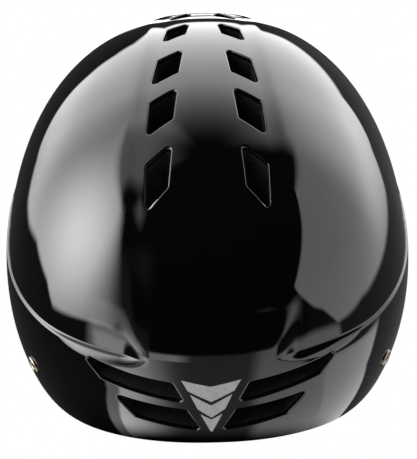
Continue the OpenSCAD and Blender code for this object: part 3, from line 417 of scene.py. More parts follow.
def vent_centres(middle, length):
    """Centres of the four corner rounds of the vent on the right side, in plan."""
    far_y, near_y, s = middle + length / 2, middle - length / 2, vent_slant / 2
    return [
        (vent_inner(far_y + s) + vent_r, far_y + s - 2 * vent_r),
        (vent_outer(far_y - s) - vent_r, far_y - s - vent_r),
        (vent_outer(near_y - s) - vent_r, near_y - s + 2 * vent_r),
        (vent_inner(near_y + s) + vent_r, near_y + s + vent_r),
    ]


def slot_centres(corners):
    """Centres of the four corner rounds of a slot, as distance from the centre and height."""
    corners = np.array(corners, float)
    inward = corners.mean(0) - corners
    return corners + inward / np.linalg.norm(inward, axis=1, keepdims=True) * vent_r


# The vents' middles and lengths, the slots' corners, and the eyelets' angles from the front and heights
vents = [(91, 17), (53.5, 18), (15, 22), (-19, 21.5), (-53.2, 20)]
upper_slot = [(14.5, 33), (54.5, 40), (60.5, 48), (18.5, 43)]
lower_slot = [(6.5, 12), (38, 18), (46, 29), (12, 25)]
rear_slot = [(15, 14), (44, 16), (50, 25), (20, 24)]
eyelets = [(58, 12), (124, 20)]
eyelet_square = [(-0.6, -0.6), (0.6, -0.6), (0.6, 0.6), (-0.6, 0.6)]
# Each opening: corner centres, the two axes of its outline, the axis that it is cut along and the way in
openings = []
for side in (1, -1):
    cuts = [(vent_centres(*v), (0, 1), 2, -1) for v in vents]
    cuts += [(slot_centres(s), (0, 2), 1, 1) for s in (upper_slot, lower_slot)]
    cuts += [(slot_centres(rear_slot), (0, 2), 1, -1)]
    for centres, plane, axis, inward in cuts:
        openings.append((np.array(centres) * (side, 1), plane, axis, inward))
    for t, z in eyelets:
        _, y, z = skin(side * t, height_angle(t, z))
        openings.append((np.array([(y + i, z + j) for i, j in eyelet_square]), (1, 2), 0, -side))


def rounded(centres, r, steps):
    """The outline round four circles, as points in order."""
    middle = centres.mean(0)
    order = np.argsort(np.arctan2(*(centres - middle).T[::-1]))
    ring = centres[order]
    outline = []
    for i in range(len(ring)):
        before, here, after = ring[i - 1], ring[i], ring[(i + 1) % len(ring)]
        start, end = (math.atan2(-(q - p)[0], (q - p)[1]) for p, q in ((before, here), (here, after)))
        sweep = (end - start) % (2 * math.pi)
        for k in range(steps + 1):
            angle = start + sweep * k / steps
            outline.append(here + r * np.array((math.cos(angle), math.sin(angle))))
    return np.array(outline)


def grid_mesh(name, points):
    """A tube of quads through rows of points, closed round each row and capped by a last single point."""
    rows, columns = points.shape[:2]
    places = [tuple(p) for p in points.reshape(-1, 3)]
    faces = []
    for i in range(rows - 1):
        for j in range(columns):
            k = (j + 1) % columns
            faces.append((i * columns + j, i * columns + k, (i + 1) * columns + k, (i + 1) * columns + j))
    mesh = bpy.data.meshes.new(name)
    mesh.from_pydata(places, [], faces)
    return mesh


columns = 320
turns = np.arange(columns) * 360 / columns
skirt_rows, ledge_rows, dome_rows = 22, 26, 64
ledge_below, ledge_above = 8, 4
rows = []
for i in range(skirt_rows):
    z = rim(turns) + (ledge(turns) - ledge_below - rim(turns)) * i / skirt_rows
    rows.append(height_angle(turns, z))
for i in range(ledge_rows):
    z = ledge(turns) - ledge_below + (ledge_below + ledge_above) * i / ledge_rows
    rows.append(height_angle(turns, z))
top_start = height_angle(turns, ledge(turns) + ledge_above)
crown_end = 89.6
for i in range(dome_rows + 1):
    rows.append(top_start + (crown_end - top_start) * i / dome_rows)
skin_rows = skin(turns[None, :], np.array(rows))
shell_mesh = grid_mesh("outer_shell_skin", skin_rows)

work = bmesh.new()
work.from_mesh(shell_mesh)
work.verts.ensure_lookup_table()
crown_ring = [v for v in work.verts[-columns:]]
crown = work.verts.new((0, 0, crown_ring[0].co.z + 0.0002))
for j in range(columns):
    work.faces.new((crown_ring[j], crown_ring[(j + 1) % columns], crown))
work.verts.ensure_lookup_table()
rim_ring = [work.verts[j] for j in range(columns)]


def edge_loop(start_edges):
    """The vertices of a closed run of edges, in order."""
    follows = {}
    for e in start_edges:
        follows.setdefault(e.verts[0], []).append(e.verts[1])
        follows.setdefault(e.verts[1], []).append(e.verts[0])
    first = next(iter(follows))
    loop, last, here = [first], first, follows[first][0]
    while here is not first:
        loop.append(here)
        step = [v for v in follows[here] if v is not last]
        last, here = here, step[0]
    return loop


# A hole is cut only in faces within this margin of its outline and this far out along its axis
cut_margin = 3
cut_beyond = (45, 60, 45)


def open_hole(work, outline, plane, axis, inward):
    """Cuts an outline out of the skin and returns the loop of vertices round the hole."""
    low, high = outline.min(0) - cut_margin, outline.max(0) + cut_margin
    u, v = plane
    near = []
    for f in work.faces:
        c = f.calc_center_median()
        if inward * c[axis] < -cut_beyond[axis] and low[0] < c[u] < high[0] and low[1] < c[v] < high[1]:
            near.append(f)
    for i in range(len(outline)):
        p, q = outline[i - 1], outline[i]
        across = np.array((-(q - p)[1], (q - p)[0]))
        if np.linalg.norm(across) < 1e-6:
            continue
        spot, facing = Vector((0, 0, 0)), Vector((0, 0, 0))
        spot[u], spot[v] = p
        facing[u], facing[v] = across
        geometry = dict.fromkeys(near)
        for f in near:
            geometry.update(dict.fromkeys((*f.edges, *f.verts)))
        cut = bmesh.ops.bisect_plane(work, geom=list(geometry), plane_co=spot, plane_no=facing, dist=1e-4)
        near = [g for g in cut["geom"] if isinstance(g, bmesh.types.BMFace) and g.is_valid]
    edges = outline - np.roll(outline, 1, 0)
    inside = []
    for f in near:
        c = f.calc_center_median()
        offset = np.array((c[u], c[v])) - np.roll(outline, 1, 0)
        turned = edges[:, 0] * offset[:, 1] - edges[:, 1] * offset[:, 0]
        if (turned > -1e-9).all() or (turned < 1e-9).all():
            inside.append(f)
    border = [e for f in inside for e in f.edges if sum(g in inside for g in e.link_faces) == 1]
    loop = edge_loop(border)
    bmesh.ops.delete(work, geom=inside, context="FACES")
    return [v for v in loop if v.is_valid]


lips = []
for centres, plane, axis, inward in openings:
    hole = rounded(centres, vent_r + lip_r, 4)
    lips.append((open_hole(work, hole, plane, axis, inward), centres, plane, axis, inward))

everywhere = [v for v in work.verts]
places, normals = on_skin(np.array([v.co for v in everywhere]))
for v, place in zip(everywhere, places):
    v.co = place
facing = dict(zip(everywhere, normals))

inner = {v: work.verts.new(v.co - Vector(facing[v]) * shell_wall) for v in everywhere if v is not crown}
inner[crown] = work.verts.new(crown.co - Vector((0, 0, shell_wall)))
facing[crown] = np.array((0, 0, 1))
for f in list(work.faces):
    work.faces.new([inner[v] for v in reversed(f.verts)])


def join_loops(work, first, second):
    for i in range(len(first)):
        j = (i + 1) % len(first)
        work.faces.new((first[i], first[j], second[j], second[i]))


def nearest_on(outline, point):
    """The nearest place on a closed outline."""
    a = np.roll(outline, 1, 0)
    run = outline - a
    length = np.maximum(1e-12, (run ** 2).sum(1))
    share = np.clip(((point - a) * run).sum(1) / length, 0, 1)
    spots = a + run * share[:, None]
    return spots[np.argmin(((spots - point) ** 2).sum(1))]


lip_steps, inner_lip = 5, 0.3
for loop, centres, plane, axis, inward in lips:
    u, v = plane
    sharp = rounded(centres, vent_r, 8)
    way_in = Vector((0, 0, 0))
    way_in[axis] = inward
    corners = []
    for vert in loop:
        spot = nearest_on(sharp, np.array((vert.co[u], vert.co[v])))
        corner = vert.co.copy()
        corner[u], corner[v] = spot
        n = facing[vert]
        move = corner - vert.co
        corner[axis] -= (n[u] * move[u] + n[v] * move[v]) / n[axis]
        corners.append(corner)
    last = loop
    for step in range(1, lip_steps + 1):
        s = step / lip_steps
        ring = []
        for vert, corner in zip(loop, corners):
            end = corner + way_in * lip_r
            ring.append(work.verts.new((1 - s) ** 2 * vert.co + 2 * s * (1 - s) * corner + s * s * end))
        join_loops(work, last, ring)
        last = ring
    ring = [work.verts.new(corner + way_in * (shell_wall - inner_lip)) for corner in corners]
    join_loops(work, last, ring)
    join_loops(work, ring, [inner[vert] for vert in loop])

rim_steps = 6
last = rim_ring
for step in range(1, rim_steps):
    turn = math.pi * step / rim_steps
    ring = []
    for vert in rim_ring:
        middle, reach = (vert.co + inner[vert].co) / 2, (vert.co - inner[vert].co) / 2
        down = reach.cross(Vector((0, 0, 1)).cross(reach)).normalized() * -reach.length
        ring.append(work.verts.new(middle + reach * math.cos(turn) + down * math.sin(turn)))
    join_loops(work, last, ring)
    last = ring
join_loops(work, last, [inner[vert] for vert in rim_ring])

for f in work.faces:
    f.smooth = True
work.verts.index_update()
skin_normals = {v.index: facing[v] for v in everywhere}
bmesh.ops.scale(work, vec=(MM, MM, MM), verts=work.verts)


def close_up(work, mesh):
    """Turns all faces outwards and puts them into a mesh."""
    bmesh.ops.recalc_face_normals(work, faces=work.faces)
    work.to_mesh(mesh)
    work.free()


close_up(work, shell_mesh)


def piece_of(name, mesh):
    """A piece of the scene with its mesh."""
    piece = bpy.data.objects.new(name, mesh)
    bpy.context.collection.objects.link(piece)
    return piece


shell = piece_of("outer_shell_gloss", shell_mesh)
shaded = np.array([tuple(v.normal) for v in shell_mesh.vertices])
for i, n in skin_normals.items():
    shaded[i] = n
shell_mesh.normals_split_custom_set_from_vertices(shaded.tolist())

# Black ABS with a polished mould finish: clear reflections, with a faint haze in patches of about 15 mm
abs_black, tree, shader = finish_of("gloss_black_abs_thermoformed")
spot = add(tree, "ShaderNodeTexCoord").outputs["Object"]
haze = add(tree, "ShaderNodeTexNoise", {"Vector": spot, "Scale": 60.0, "Detail": 4.0}).outputs[0]
rough = add(tree, "ShaderNodeMapRange", {"Value": haze, "To Min": 0.008, "To Max": 0.024}).outputs[0]
feed(shader, {"Base Color": linear("#050505"), "IOR": 1.5, "Roughness": rough})
shell_mesh.materials.append(abs_black)
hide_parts("outer_shell")
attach(shell, "helmet")

# The liner. Black expanded polystyrene, moulded in one bowl under the shell, 20 mm thick, with the vents and
# slots carried through it and pockets for the straps; the beads show on every face.
liner_gap, liner_t, liner_lift, edge_slope = 2.7, 20, 2, 2
cavity_d = -(liner_gap + liner_t)
liner_columns, outer_rows, inner_rows, edge_rows = 180, 44, 34, 4
bowl_turns = np.arange(liner_columns) * 360 / liner_columns
foot = height_angle(bowl_turns, rim(bowl_turns) + liner_lift)
inner_foot = height_angle(bowl_turns, rim(bowl_turns) + liner_lift + edge_slope)
outer = [skin(bowl_turns, foot + (crown_end - foot) * i / outer_rows, -liner_gap)
         for i in range(outer_rows, -1, -1)]
inner_skin = [dome(bowl_turns, inner_foot + (crown_end - inner_foot) * i / inner_rows, cavity_d)
              for i in range(inner_rows + 1)]
edge = [outer[-1] + (inner_skin[0] - outer[-1]) * i / edge_rows for i in range(1, edge_rows)]
liner_mesh = grid_mesh("foam_liner_bowl", np.array(outer + edge + inner_skin) * MM)
work = bmesh.new()
work.from_mesh(liner_mesh)
work.verts.ensure_lookup_table()
for ring in (list(work.verts[:liner_columns]), list(work.verts[-liner_columns:])):
    top = work.verts.new((0, 0, ring[0].co.z))
    for j in range(liner_columns):
        work.faces.new((ring[j], ring[(j + 1) % liner_columns], top))
close_up(work, liner_mesh)
liner = piece_of("foam_liner_beads", liner_mesh)

# The straps lie between the shell's eyelets and the liner, so the liner has a pocket for each of them
fit = 0.3
web_w, web_t, web_edge = 15, 1.4, 0.5
eyelet_room = 0.6
strap_back = shell_wall + fit + web_t / 2 + eyelet_room
divider_x, divider_y, divider_z, divider_t = 72, 18, -50, 3.6
slot_y, slot_z, slot_lean = 7, 7, math.radians(48)
outer_x = divider_x + divider_t / 2 + fit + web_t / 2
# Each strap: its eyelet's angle and height, the angle at which it passes the rim, and forwards or backwards
straps = {"front": (*eyelets[0], 67, -1), "rear": (*eyelets[1], 116, 1)}
strap_shares, strap_under = (-0.42, 0, 0.5, 1), 2
pocket_depth, pocket_room, pocket_edge, pocket_end = 5, 6, 0.4, 6
core_reach, vent_core_z, rear_core_l = 200, 56, 60
lower_core_l, upper_core_l, between_slots_z = 19, 56, 30


def settle(piece, node, material):
    """Gives a finished piece its material and hides the CAD node that it stands in for."""
    piece.data.materials.clear()
    piece.data.materials.append(material)
    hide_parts(node)


def finish_by_hand(piece, angle):
    """Applies the modifiers of a piece and smooths its faces, apart from edges sharper than an angle."""
    bpy.ops.object.select_all(action="DESELECT")
    piece.select_set(True)
    bpy.context.view_layer.objects.active = piece
    for held in list(piece.modifiers):
        bpy.ops.object.modifier_apply(modifier=held.name)
    bpy.ops.object.shade_smooth_by_angle(angle=math.radians(angle))


def unit(v):
    return v / np.linalg.norm(v, axis=-1, keepdims=True)


def unwrap(mesh, places):
    """A UV map from the two running sizes of each vertex, in millimetres."""
    held = mesh.uv_layers.new(name="run")
    for loop in mesh.loops:
        held.data[loop.index].uv = places[loop.vertex_index]


def flowing(points, steps):
    """A smooth curve through points, with a number of steps between each pair."""
    points = np.asarray(points, float)
    wide = np.concatenate([[2 * points[0] - points[1]], points, [2 * points[-1] - points[-2]]])
    out = []
    for i in range(1, len(wide) - 2):
        a, b, c, d = wide[i - 1:i + 3]
        for k in range(steps):
            s = k / steps
            out.append(0.5 * (2 * b + (c - a) * s + (2 * a - 5 * b + 4 * c - d) * s * s
                              + (3 * b - 3 * c + d - a) * s ** 3))
    out.append(points[-1])
    return np.array(out)


def strip(name, route, facings, width, thickness, edge, steps=6):
    """A flat band along a route, with rounded long edges and a UV map that runs along it.
    The width is one number, or a function of the band's points."""
    line, facing = flowing(route, steps), unit(flowing(facings, steps))
    along = unit(np.gradient(line, axis=0))
    across = unit(np.cross(along, facing))
    out = np.cross(across, along)
    widths = width(line) if callable(width) else np.full(len(line), float(width))
    half_t = thickness / 2
    profile = []
    for side in (-1, 1):
        for k in range(5):
            turn = math.radians(-90 + 45 * k)
            profile.append((side * (math.cos(turn) - 1) * edge, side, side * math.sin(turn) * half_t))
    rings = np.array([[line[i] + across[i] * (s * widths[i] / 2 + p) + out[i] * h for p, s, h in profile]
                      for i in range(len(line))])
    run = np.concatenate([[0], np.cumsum(np.linalg.norm(np.diff(line, axis=0), axis=1))])
    n = len(profile)
    mesh = grid_mesh(name, rings * MM)
    work = bmesh.new()
    work.from_mesh(mesh)
    work.verts.ensure_lookup_table()
    last = len(line) - 1
    work.faces.new([work.verts[k] for k in range(n)])
    work.faces.new([work.verts[last * n + k] for k in reversed(range(n))])
    close_up(work, mesh)
    unwrap(mesh, [(s * widths[i] / 2 + p, run[i]) for i in range(len(line)) for p, s, h in profile])
    piece = piece_of(name, mesh)
    finish_by_hand(piece, 50)
    return piece


def strap_path(t0, z0, over_t, way):
    """The route and facings of a strap from past its eyelet, over the rim and into the divider's slot."""
    over_z = rim(over_t) - strap_under
    route, facings = [], []
    for share in strap_shares:
        t, z = t0 + (over_t - t0) * share, z0 + (over_z - z0) * share
        a = height_angle(t, z)
        route.append(skin(t, a, -strap_back))
        facings.append(skin_normal(t, a))
    up = np.array((0, way * math.sin(slot_lean), math.cos(slot_lean)))
    slot_spot = np.array((0, divider_y + way * slot_y, divider_z + slot_z))
    lie = slot_spot + (outer_x, 0, 0) + 4.5 * up
    side = np.array((1.0, 0, 0))
    over = route[3]
    route += [
        over + (lie - over) * 0.35 + (1.2, 0, 0),
        over + (lie - over) * 0.75 + (0.6, 0, 0),
        lie,
        slot_spot + (outer_x - 0.3, 0, 0) + 0.8 * up,
        slot_spot + (divider_x + 0.6, 0, 0),
        slot_spot + (divider_x - divider_t / 2 + 0.2, 0, 0),
    ]
    facings += [unit(facings[3] * 0.6 + side * 0.4), side, side, unit(side - up), -up, -up]
    return np.array(route), np.array(facings)


def mirrored(points, side):
    return points * (side, 1, 1)


cutters = bmesh.new()
for centres, plane, axis, inward in openings:
    if axis == 0:
        continue
    if axis == 2:
        start, end = vent_core_z, core_reach
    elif inward == -1:
        start, end = shell_back - rear_core_l, core_reach
    else:
        depth = lower_core_l if centres[:, 1].mean() < between_slots_z else upper_core_l
        start, end = -core_reach, depth - shell_front
    ends = []
    for reach in (start, end):
        ring = []
        for spot in rounded(centres, vent_r, 5):
            place = [0, 0, 0]
            place[plane[0]], place[plane[1]], place[axis] = spot[0], spot[1], reach
            ring.append(cutters.verts.new(Vector(place) * MM))
        ends.append(ring)
    join_loops(cutters, *ends)
    cutters.faces.new(ends[0])
    cutters.faces.new(ends[1])
cutter_mesh = bpy.data.meshes.new("vent_cores")
close_up(cutters, cutter_mesh)
cores = [piece_of("vent_cores", cutter_mesh)]
for side in (1, -1):
    for strap in straps.values():
        route, facings = strap_path(*strap)
        route = np.concatenate([[2 * route[0] - route[1]], route])
        facings = np.concatenate([[facings[0]], facings])
        route = mirrored((route - facings * pocket_depth / 2)[:pocket_end], side)
        facings = mirrored(facings[:pocket_end], side)
        cores.append(strip("strap_pocket", route, facings, web_w + pocket_room, pocket_depth + 2 * web_t,
                           pocket_edge))
for core in cores:
    cut = liner.modifiers.new("core", "BOOLEAN")
    cut.object = core
    cut.solver = "EXACT"
finish_by_hand(liner, 35)
for core in cores:
    bpy.data.objects.remove(core)

# Moulded polystyrene: dull flattened beads of 3 to 4 mm with fine dark seams between them
bead = 10 / 3
eps_black, tree, shader = finish_of("black_eps_beads")
spot = add(tree, "ShaderNodeTexCoord").outputs["Object"]
placed = {"Vector": spot, "Scale": 1 / (bead * MM)}
beads = add(tree, "ShaderNodeTexVoronoi", placed, feature="DISTANCE_TO_EDGE").outputs[0]
seam = add(tree, "ShaderNodeMapRange", {"Value": beads, "From Max": 0.3}, interpolation_type="SMOOTHSTEP")
each = add(tree, "ShaderNodeTexVoronoi", placed).outputs["Color"]
tone = add(tree, "ShaderNodeMix", {0: each, 6: linear("#0e0e0f"), 7: linear("#19191a")}, data_type="RGBA")
relief = add(tree, "ShaderNodeBump", {"Height": seam.outputs[0], "Distance": 0.25 * MM, "Strength": 0.5})
feed(shader, {"Base Color": tone.outputs[2], "Normal": relief.outputs[0],
              "Roughness": 0.85, "Specular IOR Level": 0.25})
settle(liner, "foam_liner", eps_black)
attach(liner, "helmet")

# The chevrons. Three stickers of silver-grey reflective film on the middle of the skirt, whose fine
# cells of lens film show as a close honeycomb.
film_cell, film_cloud = 10 / 9, 50 / 13


def dress(node, material):
    """Gives a CAD node that stays as it is a new finish."""
    for held in frame["nodes"][node].material_slots:
        held.material = material


film, tree, shader = finish_of("silver_reflective_film")
spot = add(tree, "ShaderNodeTexCoord").outputs["Object"]
placed = {"Vector": spot, "Scale": 1 / (film_cell * MM)}
cells = add(tree, "ShaderNodeTexVoronoi", placed, feature="DISTANCE_TO_EDGE").outputs[0]
lens = add(tree, "ShaderNodeMapRange", {"Value": cells, "From Max": 0.1}).outputs[0]
cloud = add(tree, "ShaderNodeTexNoise", {"Vector": spot, "Scale": 1 / (film_cloud * MM), "Detail": 5.0})
tone = add(tree, "ShaderNodeMix", {0: cloud.outputs[0], 6: linear("#8b8c8c"), 7: linear("#b5b6b6")},
           data_type="RGBA").outputs[2]
tone = add(tree, "ShaderNodeMix", {0: lens, 6: linear("#8f9090"), 7: tone}, data_type="RGBA").outputs[2]
feed(shader, {"Base Color": tone, "Roughness": 0.5, "Specular IOR Level": 0.3})
dress("reflective_chevrons", film)

# The eyelets and their washers. Rolled nickel-washed brass eyelets with polished flanges, and plain
# stamped washers behind the webbing.


def grained(name, colour, rough, grain_size, depth, shade=0.15, metal=0.0):
    """A material with a fine moulded or rolled grain, uneven gloss and slightly uneven colour."""
    made, tree, shader = finish_of(name)
    spot = add(tree, "ShaderNodeTexCoord").outputs["Object"]
    cloud = add(tree, "ShaderNodeTexNoise", {"Vector": spot, "Scale": 55.0, "Detail": 3.0}).outputs[0]
    dark = [c * (1 - shade) for c in linear(colour)[:3]] + [1]
    tint = add(tree, "ShaderNodeMix", {0: cloud, 6: dark, 7: linear(colour)}, data_type="RGBA").outputs[2]
    low, high = rough * 0.8, rough * 1.2
    gloss = add(tree, "ShaderNodeMapRange", {"Value": cloud, "To Min": low, "To Max": high}).outputs[0]
    fine = 1 / (grain_size * MM)
    grain = add(tree, "ShaderNodeTexNoise", {"Vector": spot, "Scale": fine, "Detail": 2.0}).outputs[0]
    relief = add(tree, "ShaderNodeBump", {"Height": grain, "Distance": depth * MM, "Strength": 0.6})
    feed(shader, {"Base Color": tint, "Roughness": gloss, "Normal": relief.outputs[0], "Metallic": metal})
    return made


# The wash leaves a warm grey with a soft gleam; the washers have the duller grain of rolled strip
dress("strap_eyelets", grained("nickel_washed_brass", "#857a6e", 0.32, 0.6, 0.02, 0.25, 1.0))
dress("eyelet_washers", grained("stamped_washer_steel", "#9b9c9e", 0.38, 0.4, 0.02, 0.3, 1.0))

# The comfort pads. Foam under brushed knit, with a thin welded border all round, sewn channels and small
# puckers where the knit is drawn into the weld.
pad_t, weld_h, weld_w, puff_w, puff_power = 6.5, 1.3, 1.8, 9, 2.4
channel_depth, channel_w = 2.6, 1.9
pucker_depth, pucker_pitch, pucker_in, pucker_w = 0.13, 3.4, 3.4, 1.7
mesh_step, corner_soft, corner_pull = 1.5, 1.5, 0.32
top_share, foot_share = 0.985, 0.975
disc_lift, disc_t, disc_gap = 0.85, 1.2, 0.2
pad_lift = disc_lift + disc_t + disc_gap
brow_pad_z, brow_pad_h, brow_pad_reach, brow_pad_l = 15.5, 21, 47, 130
side_pad_mid, side_pad_z, side_pad_h, side_pad_reach, side_pad_l = 92, 44, 44, 24, 70
rear_pad_mid, rear_pad_z, rear_pad_h, rear_pad_reach, rear_pad_l = 180, 42, 26, 19, 72
crown_pad_y, crown_pad_w, crown_pad_l = 8, 26, 52
body_of = {node: body for body, held in frame["record"]["behaviour"]["bodies"].items() for node in held}

# Brushed knit: dark grey loops of about 1 mm, matt and fuzzy, a little paler where it is worn
knit, tree, shader = finish_of("brushed_grey_knit")
run = add(tree, "ShaderNodeUVMap", uv_map="run").outputs["UV"]
ribs = add(tree, "ShaderNodeTexBrick", {
    "Vector": run, "Scale": 1.0, "Brick Width": 1.1, "Row Height": 0.62,
    "Mortar Size": 0.13, "Mortar Smooth": 1.0,
}, offset=0.5).outputs["Fac"]
fuzz = add(tree, "ShaderNodeTexNoise", {"Vector": run, "Scale": 3.2, "Detail": 5.0}).outputs[0]
worn = add(tree, "ShaderNodeTexNoise", {"Vector": run, "Scale": 0.09, "Detail": 3.0}).outputs[0]
tone = add(tree, "ShaderNodeMix", {0: worn, 6: linear("#26272b"), 7: linear("#3a3b41")}, data_type="RGBA")
tone = add(tree, "ShaderNodeMix", {0: ribs, 6: tone.outputs[2], 7: linear("#17181a")}, data_type="RGBA")
level = add(tree, "ShaderNodeMath", {0: ribs, 1: -0.7, 2: fuzz}, operation="MULTIPLY_ADD").outputs[0]
relief = add(tree, "ShaderNodeBump", {"Height": level, "Distance": 0.25 * MM, "Strength": 0.8}).outputs[0]
feed(shader, {"Base Color": tone.outputs[2], "Normal": relief, "Roughness": 0.95,
              "Sheen Weight": 0.35, "Sheen Roughness": 0.4})


def wall(t, z, d):
    """Point on the plain dome moved out by d, at an angle from the front and a height."""
    t, z = np.broadcast_arrays(np.asarray(t, float), np.asarray(z, float))
    h = np.where(z > mid_z, crown_rise + d, lower_curve)
    left = np.maximum(0, 1 - (np.abs(z - mid_z) / h) ** side_round) ** (1 / side_round)
    r = plan_r(t, d) * left
    return np.stack([r * np.sin(np.radians(t)), -r * np.cos(np.radians(t)), z], -1)


def roof(x, y, d):
    """Point of the plain dome moved out by d, over a place in plan."""
    fore = y < 0
    power = np.where(fore, front_round, back_round)
    reach = np.where(fore, shell_front, shell_back)
    q = (np.abs(x / (shell_half_w + d)) ** power + np.abs(y / (reach + d)) ** power) ** (1 / power)
    left = np.maximum(0, 1 - q ** side_round) ** (1 / side_round)
    return np.stack([x + 0 * y, y + 0 * x, mid_z + (crown_rise + d) * left], -1)


def cushion(node, place, u_mm, v_mm, channels, thick=pad_t):
    """A cushion on a surface: place(u, v, lift) gives points for u and v from -1 to 1 and a lift in mm."""
    nu, nv = int(u_mm / mesh_step), int(v_mm / mesh_step)
    u, v = np.meshgrid(np.linspace(-1, 1, nu + 1), np.linspace(-1, 1, nv + 1), indexing="ij")
    run_u, run_v = u * u_mm / 2, v * v_mm / 2
    to_u, to_v = (1 - np.abs(u)) * u_mm / 2, (1 - np.abs(v)) * v_mm / 2
    nearest = -corner_soft * np.log(np.exp(-to_u / corner_soft) + np.exp(-to_v / corner_soft))
    inset = np.maximum(0, nearest)
    puff = 1 - (1 - np.clip((inset - weld_w) / puff_w, 0, 1)) ** puff_power
    beside = np.where(to_u < to_v, run_v, run_u)
    pucker = pucker_depth * np.sin(2 * math.pi * beside / pucker_pitch)
    pucker = pucker * np.exp(-((inset - pucker_in) / pucker_w) ** 2)
    drawn = sum(np.exp(-((u - c) * u_mm / 2 / channel_w) ** 2) for c in channels)
    lift = weld_h + (thick - weld_h) * puff * (1 - channel_depth / pad_t * np.clip(drawn, 0, 1)) + pucker
    cu, cv = u * np.sqrt(1 - corner_pull * v * v), v * np.sqrt(1 - corner_pull * u * u)
    rim_cells = [(i, 0) for i in range(nu + 1)] + [(nu, j) for j in range(1, nv + 1)]
    rim_cells += [(i, nv) for i in range(nu - 1, -1, -1)] + [(0, j) for j in range(nv - 1, 0, -1)]
    work = bmesh.new()
    rims = []
    for heights, share in ((lift, top_share), (0 * lift, foot_share)):
        points = place(cu * share, cv * share, heights) * MM
        g = [[work.verts.new(points[i, j]) for j in range(nv + 1)] for i in range(nu + 1)]
        for i in range(nu):
            for j in range(nv):
                work.faces.new((g[i][j], g[i + 1][j], g[i + 1][j + 1], g[i][j + 1]))
        rims.append([g[i][j] for i, j in rim_cells])
    edge_u, edge_v = (np.array([c[i, j] for i, j in rim_cells]) for c in (cu, cv))
    middle = [work.verts.new(p) for p in place(edge_u, edge_v, np.full(len(rim_cells), weld_h / 2)) * MM]
    for ring in rims:
        join_loops(work, ring, middle)
    mesh = bpy.data.meshes.new(node + "_knit")
    close_up(work, mesh)
    face_run = [(run_u[i, j], run_v[i, j]) for i in range(nu + 1) for j in range(nv + 1)]
    unwrap(mesh, face_run * 2 + [(run_u[i, j], run_v[i, j]) for i, j in rim_cells])
    piece = piece_of(node + "_knit", mesh)
    softened = piece.modifiers.new("softened", "SUBSURF")
    softened.levels = softened.render_levels = 1
    finish_by_hand(piece, 180)
    settle(piece, node, knit)
    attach(piece, body_of[node])


def on_wall(side, middle_t, middle_z, reach, h):
    """The place of a pad on the liner's wall, for cushion()."""
    def place(u, v, lift):
        return mirrored(wall(middle_t - u * reach, middle_z + v * h / 2, cavity_d - pad_lift - lift), side)
    return place


def on_roof(u, v, lift):
    return roof(-v * crown_pad_w, crown_pad_y + u * crown_pad_l, cavity_d - pad_lift - lift)


brow_place = on_wall(1, 0, brow_pad_z, brow_pad_reach, brow_pad_h)
cushion("brow_pad", brow_place, brow_pad_l, brow_pad_h, (-0.6, -0.2, 0.2, 0.6))
for side, node in ((1, "right_side_pad"), (-1, "left_side_pad")):
    side_place = on_wall(side, side_pad_mid, side_pad_z, side_pad_reach, side_pad_h)
    cushion(node, side_place, side_pad_l, side_pad_h, (-0.3, 0.3))
rear_place = on_wall(1, rear_pad_mid, rear_pad_z, rear_pad_reach, rear_pad_h)
cushion("rear_pad", rear_place, rear_pad_l, rear_pad_h, (0,))
cushion("crown_pad", on_roof, 2 * crown_pad_l, 2 * crown_pad_w, (-0.36, 0.36))
# Hook tape: dull moulded nylon, coarse to the eye from its hooks
dress("pad_discs", grained("moulded_hook_nylon", "#3a3b3e", 0.8, 0.7, 0.25, 0.3))

# The webbing yoke. Woven polypropylene tape, 15 mm wide, from each eyelet down over the rim into the slots
# of the divider; a basket weave with a tighter selvedge, drawn twice as coarse as it is to show.
selvedge_from, selvedge_to = 6.2, 6.6
webbing, tree, shader = finish_of("woven_black_webbing")
run = add(tree, "ShaderNodeUVMap", uv_map="run").outputs["UV"]
weave = add(tree, "ShaderNodeTexBrick", {
    "Vector": run, "Scale": 1.0, "Brick Width": 1.9, "Row Height": 1.3,
    "Mortar Size": 0.3, "Mortar Smooth": 1.0,
}, offset=0.5).outputs["Fac"]
threads = add(tree, "ShaderNodeTexWave", {"Vector": run, "Scale": 0.8, "Distortion": 0.6, "Detail": 2.0},
              bands_direction="Y").outputs[1]
across = add(tree, "ShaderNodeSeparateXYZ", {"Vector": run}).outputs["X"]
far_out = add(tree, "ShaderNodeMath", {0: across}, operation="ABSOLUTE").outputs[0]
selvedge = add(tree, "ShaderNodeMapRange", {
    "Value": far_out, "From Min": selvedge_from, "From Max": selvedge_to,
}).outputs[0]
tone = add(tree, "ShaderNodeMix", {0: weave, 6: linear("#303135"), 7: linear("#08080a")}, data_type="RGBA")
tone = add(tree, "ShaderNodeMix", {0: selvedge, 6: tone.outputs[2], 7: linear("#1b1c1e")}, data_type="RGBA")
level = add(tree, "ShaderNodeMath", {0: weave, 1: -1.0, 2: threads}, operation="MULTIPLY_ADD").outputs[0]
relief = add(tree, "ShaderNodeBump", {"Height": level, "Distance": 0.3 * MM, "Strength": 1.0}).outputs[0]
feed(shader, {"Base Color": tone.outputs[2], "Normal": relief, "Roughness": 0.7, "Sheen Weight": 0.2})

for side, word in ((1, "right"), (-1, "left")):
    for end, strap in straps.items():
        node = word + "_" + end + "_strap"
        route, facings = (mirrored(points, side) for points in strap_path(*strap))
        piece = strip(node + "_webbing", route, facings, web_w, web_t, web_edge)
        settle(piece, node, webbing)
        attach(piece, "helmet")

# The dividers and cam levers. Satin acetal mouldings with rounded edges; each lever swings out on its pin
# to free the webbing.


